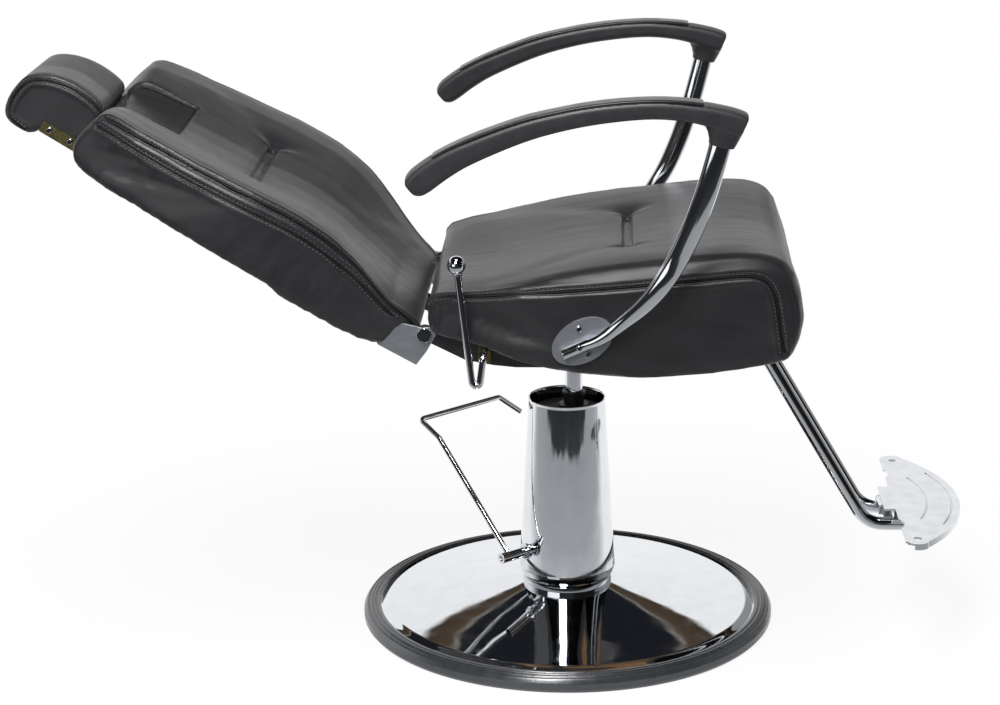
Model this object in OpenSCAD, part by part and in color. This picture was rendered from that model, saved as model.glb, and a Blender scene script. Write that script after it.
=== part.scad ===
// Hydraulic barber chair with a reclining back, a pump pedal, a swivel seat and a flip-up foot plate.
// Millimetres. +X points the way the sitter faces, +Y to the sitter's left, +Z up.
// The origin is on the floor, on the axis of the round base.

/* [Base] */
// Outer radius of the floor rim
base_r = 300; // [270:5:340]
// Width of the rubber rim seen from above
rim_w = 25; // [20:1:32]
// Height of the rubber rim
rim_h = 24; // [20:1:30]
// Height at which the spun dome meets the column
dome_h = 62; // [50:1:76]
// Radius of the dome's neck
neck_r = 60; // [56:1:66]
// Wall of the spun dome
dome_wall = 2; // [1.5:0.5:3]
// How sharply the dome flares into its neck
dome_flare = 3; // [2:0.25:4]
// Thickness of the cast floor disc
disc_t = 12; // [9:1:14]

/* [Column] */
// Outer radius of the column cover at its foot
cover_foot_r = 70; // [66:1:76]
// Outer radius of the column cover at its mouth
cover_top_r = 55; // [52:1:62]
// Length of the column cover
cover_len = 255; // [220:5:290]
// Wall of the column cover
cover_wall = 2; // [1.5:0.5:3]
// Height of the dark collar under the cover
collar_h = 16; // [10:1:22]
// Radius of the ram
ram_r = 12.5; // [10:0.5:14]
// How far the ram stands forward of the base axis
ram_offset = 10; // [0:1:14]
// Radius of the pump's oil body
pump_r = 44; // [42:1:46]
// Running clearance of the ram, pins and shafts, on the radius
running = 0.05; // [0.03:0.01:0.1]
// Height that the seat can still rise
lift_up = 110; // [60:5:120]

/* [Foot pump] */
// Direction of the pedal's shaft seen from above
pedal_turn = 222; // [210:1:235]
// Height of the pedal's shaft
pedal_z = 114; // [108:1:120]
// Radius of the pedal's shaft
shaft_r = 6; // [5:0.5:7]
// Radius of the pedal's bright rod
pedal_rod_r = 4.2; // [3.5:0.1:5]
// Reach of the pedal's arm across its shaft
pedal_reach = 206; // [160:2:220]
// Rise of the pedal's arm
pedal_rise = 157; // [120:1:170]
// Length of the foot bar
foot_bar = 158; // [120:2:170]

/* [Seat] */
// Full width of the seat cushion
seat_w = 504; // [480:4:540]
// Full width of the seat cushion at its rear edge
seat_rear_w = 444; // [430:4:470]
// How deep the seat's sewn line is drawn in
seat_tuft = 8; // [0:1:12]
// Length of the seat's sewn line
seat_tuft_len = 180; // [120:10:240]
// How far the seat's middle sinks between its sides
seat_dish = 10; // [0:1:16]
// Thickness of the plywood seat pan
pan_t = 12; // [9:1:15]
// Width of the square frame tube
rail = 16; // [14:1:18]
// Distance of each rail's centre from the middle
rail_y = 95; // [85:1:105]
// Thickness of the swivel plate
swivel_t = 6; // [5:1:8]

/* [Back] */
// Height of the recline pivot above the top of the seat rails
pivot_up = 47; // [42:1:52]
// Distance of the recline pivot behind the base axis
pivot_x = 189; // [186:1:196]
// Slope of the back in its lowest position, above level
back_slope = 30; // [25:1:35]
// Widest width of the back cushion
back_w = 512; // [490:2:530]
// Depth of the hollow across the back
back_hollow = 34; // [20:1:42]
// Half width of the recess for the neck
notch_half = 91; // [80:1:100]
// Length of the recess for the neck
notch_len = 84; // [60:2:100]
// Depth of the recess for the neck
notch_deep = 3; // [0:0.5:7]
// How deep the back's sewn line is drawn in
back_tuft = 6; // [0:1:10]
// Length of the back's sewn line
back_tuft_len = 210; // [150:10:260]
// Thickness of the hinge plates
hinge_t = 4; // [3:0.5:5]
// Radius of the hinge bolts
hinge_r = 6; // [5:0.5:7]

/* [Headrest] */
// Full width of the headrest
head_w = 176; // [160:2:190]
// How far the headrest slides out
head_travel = 80; // [50:5:90]
// Thickness of the headrest's strap bracket
strap_t = 2.5; // [2:0.5:4]
// Width of each headrest post
post_w = 24; // [18:1:28]

/* [Arms] */
// How far the arm pads' centre line stands outside the seat's widest side
arm_spread = 66; // [54:1:78]
// Width of the arm pads
pad_w = 46; // [40:1:54]
// Thickness of the arm flange plates
flange_t = 5; // [4:0.5:7]
// Long half axis of the oval flange
flange_a = 44; // [40:1:48]
// Short half axis of the oval flange
flange_b = 29; // [25:1:32]
// Width of the arm tube under the pad
tube_wide = 29; // [24:1:32]
// Width of the arm tube at its foot
tube_narrow = 15; // [12:1:18]

/* [Foot rest] */
// Radius of the foot rest tubes
leg_r = 9.5; // [8:0.5:11]
// Distance of each foot rest tube from the middle
leg_y = 35; // [32:1:42]
// Height of the level part of the tubes
leg_low_z = 153; // [130:1:170]
// Bend radius of the tubes
leg_bend = 42; // [35:1:60]
// Radius of the foot plate's outer edge
plate_r = 283; // [265:1:300]
// Half length of the foot plate
plate_half = 190; // [180:1:210]
// Thickness of the foot plate's metal
plate_t = 3; // [2:0.5:4]
// Depth of the foot plate's turned-down edge
plate_skirt = 9; // [6:1:12]

/* [Recline lever] */
// Radius of the lever's ball knob
knob_r = 12.5; // [10:0.5:15]
// Radius of the lever's rod
lever_r = 5; // [4:0.5:6]
// Gap between the lever's rod and the side of the seat
lever_gap = 4; // [3:0.5:10]
// Height of the ball knob's centre
knob_z = 592; // [560:1:610]

/* [Hidden] */
$fn = 64;
seat_gap = 0.3;

// ---- shared shape functions ----
function unit(v) = v / norm(v);
function ease(t) = let (c = min(1, max(0, t))) c * c * (3 - 2 * c);
function mid_point(a, b, c, d, t) =
    0.5 * (2 * b + (c - a) * t + (2 * a - 5 * b + 4 * c - d) * t * t + (3 * b - a - 3 * c + d) * t * t * t);
function open_curve(p, n) = let (m = len(p) - 1) [for (i = [0:m - 1]) for (k = [0:n - 1])
    mid_point(p[max(i - 1, 0)], p[i], p[i + 1], p[min(i + 2, m)], k / n), p[m]];
function closed_curve(p, n) = let (m = len(p)) [for (i = [0:m - 1]) for (k = [0:n - 1])
    mid_point(p[(i + m - 1) % m], p[i], p[(i + 1) % m], p[(i + 2) % m], k / n)];
function table_at(t, x, i = 0) = x <= t[0][0] ? t[0][1] : i >= len(t) - 1 ? t[len(t) - 1][1] :
    x <= t[i + 1][0] ? t[i][1] + (t[i + 1][1] - t[i][1]) * ease((x - t[i][0]) / (t[i + 1][0] - t[i][0])) :
    table_at(t, x, i + 1);

// A closed skin over rings that each hold the same even number of points. Each end is closed like a zip,
// joining the points that face each other across the ring.
module skin(rings) {
    n = len(rings[0]);
    m = len(rings);
    last = (m - 1) * n;
    sides = [for (j = [0:m - 2]) for (i = [0:n - 1]) let (a = j * n + i, b = j * n + (i + 1) % n)
        each [[a, b, b + n], [a, b + n, a + n]]];
    ends = [for (k = [0:n / 2 - 1]) let (a = k, b = k + 1, c = n - k - 1, d = (n - k) % n)
        each [if (b != c) [a, c, b], if (a != d) [a, d, c], if (b != c) [last + a, last + b, last + c],
            if (a != d) [last + a, last + c, last + d]]];
    polyhedron(points = [each each rings], faces = concat(sides, ends));
}

// A round bar along a line of points, with a true elbow at each inner point. The elbows stand a hair proud.
module bent_bar(path, r, bend) {
    last = len(path) - 1;
    dirs = [for (i = [0:last - 1]) unit(path[i + 1] - path[i])];
    turn = [for (i = [0:last]) i == 0 || i == last ? 0 : acos(dirs[i - 1] * dirs[i])];
    cut = [for (t = turn) bend * tan(t / 2)];
    for (i = [0:last - 1]) {
        from = path[i] + dirs[i] * cut[i];
        to = path[i + 1] - dirs[i] * cut[i + 1];
        reach = [i == 0 ? 0 : 0.5, i == last - 1 ? 0 : 0.5];
        along(from - dirs[i] * reach[0], dirs[i])
            cylinder(r = r, h = norm(to - from) + reach[0] + reach[1], $fn = 32);
    }
    for (i = [1:last - 1]) {
        axis = unit(cross(dirs[i - 1], dirs[i]));
        start = path[i] - dirs[i - 1] * cut[i];
        out = cross(dirs[i - 1], axis);
        hub = start - out * bend;
        multmatrix([for (k = [0:2]) [out[k], dirs[i - 1][k], axis[k], hub[k]]])
            rotate_extrude(angle = turn[i]) translate([bend, 0]) circle(r = r + 0.05, $fn = 32);
    }
}

// Puts its child's +Z along a direction from a point.
module along(at, dir) {
    translate(at) rotate([0, acos(dir[2] / norm(dir)), atan2(dir[1], dir[0])]) children();
}

// A cylinder along Y between two places.
module y_bar(x, z, y0, y1, r) {
    translate([x, y0, z]) rotate([-90, 0, 0]) cylinder(r = r, h = y1 - y0);
}

module both_sides() {
    children();
    mirror([0, 1, 0]) children();
}

// ---- base ----
disc_z = 3;
dome_r = base_r - rim_w + 6;
dome_edge_z = rim_h - 5;
dome_steps = 28;
flange_z = disc_z + disc_t;
bolt_ring_r = 36;

function dome_z(r) = dome_edge_z + (dome_h - dome_edge_z) * pow((dome_r - r) / (dome_r - neck_r), dome_flare);

module base_rim() {
    groove_r = 1.2;
    inner = base_r - rim_w;
    color("#26282b") rotate_extrude($fn = 128) difference() {
        union() {
            polygon([[inner - 18, 0], [base_r - 4, 0], [base_r, 5], [base_r, rim_h - 10],
                [base_r - 4, rim_h - 4],
                [base_r - 10, rim_h - 1], [inner + 3, rim_h], [inner, rim_h - 1.5], [inner, disc_z],
                [inner - 18, disc_z]]);
        }
        for (k = [0:2]) translate([base_r - 8 - k * 5, rim_h - 0.6 + k * 0.3]) circle(r = groove_r, $fn = 16);
        polygon([[inner - 1, dome_edge_z - dome_wall - seat_gap],
            [dome_r + seat_gap, dome_edge_z - dome_wall - seat_gap],
            [dome_r + seat_gap, dome_edge_z + seat_gap], [inner - 1, dome_edge_z + seat_gap]]);
    }
}

module base_dome() {
    radii = [for (k = [0:dome_steps]) dome_r + (neck_r - dome_r) * pow(k / dome_steps, 0.8)];
    color("#c9ccd0") rotate_extrude($fn = 128)
        polygon([for (r = radii) [r, dome_z(r)],
            for (k = [dome_steps:-1:0]) [radii[k], dome_z(radii[k]) - dome_wall]]);
}

module base_disc() {
    color("#3a3b3d") difference() {
        translate([0, 0, disc_z]) cylinder(r = base_r - rim_w - seat_gap, h = disc_t);
        cylinder(r = 16, h = 100, center = true);
        for (a = [45:90:315]) rotate(a) translate([bolt_ring_r, 0, 0]) {
            cylinder(r = 5 + running, h = 60, center = true);
            translate([0, 0, disc_z - 1]) cylinder(r = 11, h = 7.5);
        }
    }
}

module base_bolts() {
    color("#8d9094") for (a = [45:90:315]) rotate(a) translate([bolt_ring_r, 0, 0]) {
        translate([0, 0, disc_z + 0.5]) cylinder(r = 9, h = 6, $fn = 6);
        translate([0, 0, disc_z + 6.5]) cylinder(r = 5, h = disc_t + 3);
    }
}

// ---- hydraulic column ----
pump_top = 318;
well_z = 40;
bore_r = ram_r + 3;
collar_z = dome_h;
cover_z = collar_z + collar_h;
gland_z = pump_top + 18;
gland_ring_h = 6;
ram_low = 140;
hub_top = 416;
ram_top = hub_top;
u = [cos(pedal_turn), sin(pedal_turn), 0];
v = [sin(pedal_turn), -cos(pedal_turn), 0];
shaft_in = 30;
cam_half = 3;
plunger_v = 14;
plunger_r = 3.5;
spring_r = 4.9;
plunger_travel = 7;
head_top = pedal_z - cam_half - 0.5;
head_t = 3;
pocket_z = pedal_z - 30;
plunger_low = pocket_z - 22;
bush_r = shaft_r + 2.5;
bush_from = 36;
spring_turns = 5;

function pump_at(along_u, across_v, z) = u * along_u + v * across_v + [0, 0, z];

module pump_housing() {
    color("#4b4d50") difference() {
        union() {
            translate([0, 0, flange_z]) cylinder(r = 54, h = 9);
            translate([0, 0, flange_z]) cylinder(r = pump_r, h = pump_top - flange_z);
        }
        translate([ram_offset, 0, well_z]) cylinder(r = bore_r, h = 400);
        for (a = [45:90:315]) rotate(a) translate([bolt_ring_r, 0, 0])
            cylinder(r = 5 + running, h = 2 * (disc_z + disc_t + 5));
        rotate(pedal_turn) {
            translate([shaft_in - 7, -60, pocket_z])
                cube([bush_from - shaft_in + 7, 69, pedal_z + 12 - pocket_z]);
            translate([shaft_in, -plunger_v, plunger_low - plunger_travel - 4])
                cylinder(r = plunger_r + running, h = pocket_z - plunger_low + plunger_travel + 5);
            translate([0, 0, pedal_z]) rotate([0, 90, 0]) {
                translate([0, 0, shaft_in - 12]) cylinder(r = shaft_r + running, h = 8);
                translate([0, 0, bush_from - 1]) cylinder(r = bush_r, h = 40);
            }
        }
    }
}

module pump_gland() {
    color("#1d1e20") translate([ram_offset, 0, 0]) difference() {
        union() {
            translate([0, 0, pump_top]) cylinder(r = 22, h = 5);
            translate([0, 0, pump_top]) cylinder(r = ram_r + 2, h = 18);
            translate([0, 0, gland_z]) cylinder(r = ram_r + 4.5, h = gland_ring_h);
        }
        translate([0, 0, pump_top - 1]) cylinder(r = ram_r + running, h = 60);
    }
}

module column_collar() {
    color("#6d7074") rotate_extrude($fn = 128) polygon([[neck_r - 6, collar_z], [neck_r + 4, collar_z],
        [cover_foot_r - 3, collar_z + 5], [cover_foot_r, collar_z + collar_h],
            [neck_r - 6, collar_z + collar_h]]);
}

module column_cover() {
    lip = 1;
    color("#c9ccd0") difference() {
        rotate_extrude($fn = 128) polygon([[cover_foot_r - cover_wall, cover_z], [cover_foot_r, cover_z],
            [cover_top_r, cover_z + cover_len - 3], [cover_top_r + lip, cover_z + cover_len],
            [cover_top_r + lip - cover_wall, cover_z + cover_len],
                [cover_top_r - cover_wall, cover_z + cover_len - 3]]);
        rotate(pedal_turn) translate([cover_foot_r - 20, 0, pedal_z]) rotate([0, 90, 0])
            cylinder(r = shaft_r + 3, h = 40);
    }
}

module shaft_bush() {
    color("#b08d4a") rotate(pedal_turn) translate([bush_from, 0, pedal_z]) rotate([0, 90, 0]) difference() {
        cylinder(r = bush_r, h = cover_foot_r - 6 - bush_from);
        translate([0, 0, -1]) cylinder(r = shaft_r + running, h = 60);
    }
}

module pump_plunger() {
    color("#a8abb0") rotate(pedal_turn) translate([shaft_in, -plunger_v, 0]) {
        translate([0, 0, plunger_low]) cylinder(r = plunger_r, h = head_top - plunger_low);
        translate([0, 0, head_top - head_t]) cylinder(r = 5.5, h = head_t);
    }
}

module plunger_spring() {
    spring_low = pocket_z + seat_gap;
    spring_high = head_top - head_t - seat_gap;
    wire = 0.8;
    steps = 12 * spring_turns;
    pitch = (spring_high - spring_low - 2 * wire) / spring_turns;
    path = [for (k = [0:steps]) [spring_r * cos(360 * k / 12), spring_r * sin(360 * k / 12),
        spring_low + wire + pitch * k / 12]];
    rings = [for (k = [0:steps]) let (a = 360 * k / 12, out = [cos(a), sin(a), 0])
        [for (i = [0:5]) path[k] + wire * (out * cos(60 * i) + [0, 0, sin(60 * i)])]];
    color("#8d9094") rotate(pedal_turn) translate([shaft_in, -plunger_v, 0]) skin(rings);
}

// ---- pedal ----
hub_r = 7.5;
hub_out = 126;
hub_in = cover_foot_r + 15;
washer_r = 12;
pedal_from = 110;

module pedal_hub() {
    color("#c9ccd0") rotate(pedal_turn) translate([0, 0, pedal_z]) rotate([0, 90, 0]) difference() {
        union() {
            translate([0, 0, shaft_in - 11]) cylinder(r = shaft_r, h = hub_in - shaft_in + 12);
            translate([0, 0, hub_in]) cylinder(r = hub_r, h = hub_out - hub_in);
            translate([0, 0, hub_in - 7]) cylinder(r = washer_r, h = 3.5);
            translate([0, 0, cover_foot_r + 0.5]) cylinder(r = 9, h = 4);
            translate([-cam_half, -plunger_v - 3, shaft_in - 3]) cube([2 * cam_half, plunger_v + 3, 6]);
        }
        translate([0, 0, hub_out - 8]) cylinder(r = 4, h = 20);
    }
}

module pedal_rod() {
    foot = pump_at(pedal_from, 0, pedal_z);
    knee = pump_at(pedal_from, pedal_reach - 46, pedal_z + pedal_rise - 18);
    heel = pump_at(pedal_from, pedal_reach, pedal_z + pedal_rise);
    toe = pump_at(pedal_from - foot_bar, pedal_reach + 7, pedal_z + pedal_rise);
    tip = pump_at(pedal_from - foot_bar - 39, pedal_reach + 3, pedal_z + pedal_rise - 30);
    color("#c9ccd0") difference() {
        bent_bar([foot, knee, heel, toe, tip], pedal_rod_r, 9);
        rotate(pedal_turn) translate([0, 0, pedal_z]) rotate([0, 90, 0]) cylinder(r = hub_r, h = 200);
    }
}

// ---- ram ----
module ram() {
    color("#c9ccd0") translate([ram_offset, 0, ram_low]) cylinder(r = ram_r, h = ram_top - ram_low);
}

module ram_piston() {
    color("#1d1e20") translate([ram_offset, 0, ram_low - 14]) cylinder(r = bore_r - running, h = 14);
}

// ---- seat frame ----
hub_low = 390;
rail_z = hub_top + swivel_t;
rail_top = rail_z + rail;
plate_back = 48;
plate_front = 80;
rail_bolts = [-36, 60];
pan_half = 205;
rail_from = -40;
rail_to = 262;
ear_y = 200;
ear_t = 5;
strut_room = 14;
pivot_z = rail_top + pivot_up;
pivot = [-pivot_x, 0, pivot_z];
lever_x = -108;
lever_z = 464;
anchor = [66, 430];
crank = [8, -18.5];
eye_drop = 0.76;

// Lower edge of the seat's side, from rear to front.
seat_under = [[-138, 489], [-85, 467], [-32, 452], [22, 443], [102, 437], [181, 442], [234, 449], [280, 459]];

module seat_hub() {
    color("#4b4d50") translate([ram_offset, 0, 0]) difference() {
        union() {
            translate([0, 0, hub_low]) cylinder(r1 = 24, r2 = 34, h = hub_top - hub_low - 8);
            translate([0, 0, hub_top - 8]) cylinder(r = 60, h = 8);
        }
        translate([0, 0, hub_low - 1]) cylinder(r = ram_r + running, h = hub_top - hub_low + 2);
        for (a = [45:90:315]) rotate(a) translate([48, 0, 0]) cylinder(r = 4 + running, h = 2 * hub_top);
    }
}

module swivel_plate() {
    color("#3a3b3d") difference() {
        union() {
            translate([ram_offset - plate_back, -rail_y - rail / 2, hub_top])
                cube([plate_back + plate_front, 2 * rail_y + rail, swivel_t]);
            both_sides() translate([anchor[0] - 9, 8, rail_z - 1]) cube([18, 4, 1]);
            both_sides() hull() {
                translate([anchor[0] - 9, 8, rail_z - 0.5]) cube([18, 4, 0.5]);
                y_bar(anchor[0], anchor[1], 8, 12, 6.5);
            }
        }
        for (a = [45:90:315]) translate([ram_offset, 0, 0]) rotate(a) translate([48, 0, 0])
            cylinder(r = 4 + running, h = 2 * hub_top + 20);
        translate([ram_offset, 0, 0]) for (sx = rail_bolts) for (sy = [-1, 1]) translate([sx, sy * rail_y, 0])
            cylinder(r = 4 + running, h = 2 * hub_top + 20);
        y_bar(anchor[0], anchor[1], -20, 20, 4 + running);
    }
}

module swivel_bolts() {
    color("#8d9094") translate([ram_offset, 0, 0]) {
        for (a = [45:90:315]) rotate(a) translate([48, 0, 0]) {
            translate([0, 0, hub_top - 13]) cylinder(r = 7, h = 5, $fn = 6);
            translate([0, 0, hub_top - 8]) cylinder(r = 4, h = 8 + swivel_t);
        }
        for (sx = rail_bolts) for (sy = [-1, 1]) translate([sx, sy * rail_y, 0]) {
            translate([0, 0, hub_top - 5]) cylinder(r = 7, h = 5, $fn = 6);
            translate([0, 0, hub_top - 0.5]) cylinder(r = 4, h = swivel_t + 3);
        }
    }
}

leg_corner = [432, leg_low_z];
leg_head = [257.4, 448];

// Spreads a side view across the chair.
module across(half) {
    translate([0, half, 0]) rotate([90, 0, 0]) linear_extrude(2 * half) children();
}

// The part of the side view under the curved seat pan, between two places.
module under_pan(x0, x1) {
    intersection() {
        polygon(concat(pan_line(1), [[280, 380], [-138, 380]]));
        translate([x0, rail_top]) square([x1 - x0, 100]);
    }
}

module square_tube(from, size) {
    translate(from) difference() {
        cube(size);
        translate([-1, 2, 2]) cube([size[0] + 2, size[1] - 4, size[2] - 4]);
    }
}

module ear_outline() {
    difference() {
        union() {
            polygon([[-pivot_x - 9, pivot_z - 6], [-pivot_x, pivot_z + 8], [-pivot_x + 13, pivot_z + 6],
                [-138, rail_top + 47], [-85, rail_top + 26], [-32, rail_top + 9], [-12, rail_top + 6],
                [-12, rail_top], [-66, rail_top], [-96, rail_top + 3], [-134, rail_top + 10],
                [-pivot_x + 7, pivot_z - 13]]);
            translate([-pivot_x, pivot_z]) circle(r = 12);
        }
        translate([-pivot_x, pivot_z]) circle(r = hinge_r + running);
        translate([lever_x, lever_z]) circle(r = lever_r + running);
    }
}

module seat_frame() {
    color("#232426") difference() {
        union() {
            both_sides() {
                square_tube([rail_from, rail_y - rail / 2, rail_z], [rail_to - rail_from, rail, rail]);
                translate([rail_from, rail_y - rail / 2, rail_top])
                    cube([28, ear_y - rail_y + rail / 2 + ear_t, 6]);
                translate([0, ear_y + ear_t, 0]) rotate([90, 0, 0]) linear_extrude(ear_t) ear_outline();
            }
            across(rail_y + rail / 2) under_pan(rail_from, rail_from + 28);
            across(rail_y + rail / 2) under_pan(rail_to - rail, rail_to);
            both_sides() translate([rail_to - rail, leg_y - 14, rail_z + 2]) cube([40, 28, 26]);
        }
        translate([ram_offset, 0, 0]) for (sx = rail_bolts) for (sy = [-1, 1])
            translate([sx, sy * rail_y, rail_z - 1])
            cylinder(r = 4 + running, h = 5);
        translate([rail_from - 1, -strut_room, rail_top - 1]) cube([30, 2 * strut_room, 40]);
        both_sides() along([leg_head[0], leg_y, leg_head[1]],
            [leg_corner[0] - leg_head[0], 0, leg_corner[1] - leg_head[1]])
            translate([0, 0, -40]) cylinder(r = leg_r + running, h = 120);
    }
}

function pan_line(lift) = [for (p = open_curve(seat_under, 3)) p + [0, lift]];
function back_to_front(p) = [for (i = [len(p) - 1:-1:0]) p[i]];

arm_spot = [25, 490];
arm_screw_spots = [[20, 507], [32, 472]];
side_board_t = 12;
side_board_top = 524;

module pan_side_outline() {
    intersection() {
        polygon(concat(pan_line(1), [[280, side_board_top], [-138, side_board_top]]));
        translate([-130, 400]) square([385, 200]);
    }
}

module seat_pan() {
    color("#b48a5a") difference() {
        union() {
            translate([0, pan_half, 0]) rotate([90, 0, 0]) linear_extrude(2 * pan_half)
                polygon(concat(pan_line(1), back_to_front(pan_line(1 + pan_t))));
            both_sides() translate([0, pan_half + side_board_t, 0]) rotate([90, 0, 0])
                linear_extrude(side_board_t)
                pan_side_outline();
        }
        both_sides() for (s = arm_screw_spots) y_bar(s[0], s[1], pan_half - 10, pan_half + 20, 3 + running);
    }
}

// ---- cushions ----
// Each cushion is a stack of rings across its width. A ring runs from the seam outline out to the crown
// outline, and the shape of the rounding is a quarter circle.
function rise(inset, round_off) = let (t = min(1, inset / round_off)) sqrt(1 - (1 - t) * (1 - t));

seat_round = 24;
seat_seam = [[-172, 500], [-177, 518], [-175, 537], [-111, 547], [-5, 556], [56, 560], [76, 562],
    [81, 562.5], [86, 563], [91, 563.4], [96, 563.8], [118, 566], [180, 572], [239, 578], [266, 573],
    [279, 556], [286, 506], [293, 470], [280, 459], [234, 449], [181, 442], [102, 437], [22, 443],
    [-32, 452], [-85, 467], [-138, 489]];
seat_crown = [[-170, 500], [-178, 520], [-167, 541], [-103, 553], [-13, 575], [56, 586], [76, 589],
    [81, 589.5], [86, 590], [91, 590.5], [96, 591], [118, 593], [180, 600], [239, 604], [280, 599],
    [306, 576], [320, 515], [306, 466], [284, 457], [234, 448], [181, 441], [102, 436], [22, 442],
    [-32, 451], [-85, 466], [-138, 488]];
seat_tuft_x = 86;

function seat_half(x) = seat_rear_w / 2 + (seat_w - seat_rear_w) / 2 * ease((x + 190) / 150)
    - 12 * ease((-150 - x) / 30);

function seat_ring(inset, y_share) = let (a = closed_curve(seat_seam, 2), b = closed_curve(seat_crown, 2),
    f = rise(inset, seat_round)) [for (i = [0:len(a) - 1])
        let (p = a[i] + (b[i] - a[i]) * f, w = seat_half(p[0]), y = (w - inset) * y_share,
            top = ease((p[1] - 530) / 20),
            dish = seat_dish * top * f * (0.5 + 0.5 * cos(180 * min(1, abs(y) / (w - seat_round)))),
            tuft = seat_tuft * top * ease(1 - abs(p[0] - seat_tuft_x) / 16)
                * ease((seat_tuft_len / 2 + 4 - abs(y)) / 10))
            [p[0], y, p[1] - dish - tuft]];

// Places across the seat: first those in the rounding, by inset, then those over the middle, by share.
seat_shares = [0.8, 0.6, (seat_tuft_len / 2 + 6) / 228, (seat_tuft_len / 2 - 8) / 228, 0.17, 0];

function seat_rings() = let (
        round_half = [for (k = [0, 0.1, 0.45, 1]) seat_ring(k * seat_round, -1)],
        mid_half = [for (s = seat_shares) seat_ring(seat_round, -s)],
        left = concat(round_half, mid_half))
    concat(left, [for (i = [len(left) - 2:-1:0]) [for (p = left[i]) [p[0], -p[1], p[2]]]]);

// Closes a cushion's side: the outline drawn in towards a line along its middle, kept on the side's own
// width.
function side_ring(ring, side, line, half, draw, puff) = [for (p = ring)
    let (t = min(1, max(0, (p[0] - line[0][0]) / (line[1][0] - line[0][0]))),
        q = line[0] + (line[1] - line[0]) * t,
        x = p[0] + (q[0] - p[0]) * draw, z = p[2] + (q[1] - p[2]) * draw) [x, side * (half(x) + puff), z]];
function with_sides(rings, line, half, puff) = let (n = len(rings) - 1, draw = 0.4) concat(
    [side_ring(rings[0], -1, line, half, draw, puff)], rings,
        [side_ring(rings[n], 1, line, half, draw, puff)]);

module seat_solid() {
    skin([for (r = with_sides(seat_rings(), [[-120, 515], [240, 510]], function(x) seat_half(x), 0.2))
        back_to_front(r)]);
}

module seat_cushion() {
    depth = 60;
    color("#1b1c1e") difference() {
        seat_solid();
        translate([0, pan_half + seat_gap, 0]) rotate([90, 0, 0]) linear_extrude(2 * pan_half + 2 * seat_gap)
            intersection() {
                polygon(concat(back_to_front(pan_line(1 + pan_t + seat_gap)),
                    [[-138 - seat_gap, 380], [280, 380]]));
                translate([-138 - seat_gap, 380]) square([418 + 2 * seat_gap, 300]);
            }
        both_sides() translate([0, pan_half + side_board_t + seat_gap, 0]) rotate([90, 0, 0])
            linear_extrude(side_board_t + 2 * seat_gap)
            translate([-130 - seat_gap, 400]) square([385 + 2 * seat_gap, side_board_top + seat_gap - 400]);
        both_sides() {
            y_bar(arm_spot[0], arm_spot[1], pan_half, 300, 14 + seat_gap);
            for (s = arm_screw_spots) y_bar(s[0], s[1], pan_half - 20, 300, 3.5);
        }
    }
}

// ---- recline lever ----
lever_y = seat_half(lever_x) + lever_r + lever_gap;
knob_at = [-142, -lever_y, knob_z];
lever_bend = [-118.2, -lever_y, 385.7];
lever_tip = knob_at - 14 * unit(knob_at - lever_bend);

module release_lever() {
    turn_in = [lever_x, -lever_y, lever_z];
    color("#c9ccd0") union() {
        bent_bar([lever_tip, lever_bend, turn_in, [lever_x, -18, lever_z]], lever_r, lever_r + 0.5);
        translate([lever_x, -24, lever_z - 3]) cube([14, 6, 6]);
    }
}

module lever_knob() {
    color("#c9ccd0") {
        translate(knob_at) sphere(r = knob_r);
        along(lever_tip, knob_at - lever_bend) cylinder(r = 6, h = 6);
    }
}

module lever_bracket() {
    color("#a08a4e") {
        difference() {
            translate([lever_x - 9, -ear_y - ear_t - 5, lever_z - 18]) cube([18, 5, 26]);
            y_bar(lever_x, lever_z, -ear_y - 20, -ear_y, lever_r + running);
        }
        difference() {
            translate([0, -35, 0]) rotate([90, 0, 0]) linear_extrude(5) intersection() {
                under_pan(lever_x - 9, lever_x + 9);
                translate([lever_x - 9, lever_z - 10]) square([18, 40]);
            }
            y_bar(lever_x, lever_z, -60, -20, lever_r + running);
        }
    }
}

// ---- lockable gas strut ----
crank_pin = [-pivot_x + crank[0], pivot_z + crank[1]];
strut_dir = unit([crank_pin[0] - anchor[0], 0, crank_pin[1] - anchor[1]]);
strut_len = norm(crank_pin - anchor);
eye_play = 1.1;
strut_at = [anchor[0], 0, anchor[1]];
crank_pin_r = 4;

module strut_barrel() {
    color("#232426") difference() {
        union() {
            y_bar(anchor[0], anchor[1], -7, 7, 7);
            along(strut_at, strut_dir) cylinder(r = 7, h = 138);
        }
        y_bar(anchor[0], anchor[1], -10, 10, 4 + running);
        along(strut_at + strut_dir * 20, strut_dir) cylinder(r = 4 + running, h = 200);
    }
}

module strut_rod() {
    color("#c9ccd0") difference() {
        union() {
            along(strut_at + strut_dir * 60, strut_dir) cylinder(r = 4, h = strut_len - 60);
            y_bar(crank_pin[0], crank_pin[1] - eye_drop, -5, 5, crank_pin_r + eye_play + 4);
        }
        y_bar(crank_pin[0], crank_pin[1] - eye_drop, -10, 10, crank_pin_r + eye_play);
    }
}

// ---- back ----
// The back is drawn in its own frame: u runs up the back from the pivot, v out of its front.
module in_back() {
    translate(pivot) rotate([0, 180 + back_slope, 0]) mirror([0, 0, 1]) children();
}

// Turns an outline in u and v into a slab across the chair between two places.
module back_slab(y0, y1) {
    translate([0, y1, 0]) rotate([90, 0, 0]) linear_extrude(y1 - y0) children();
}

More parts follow.
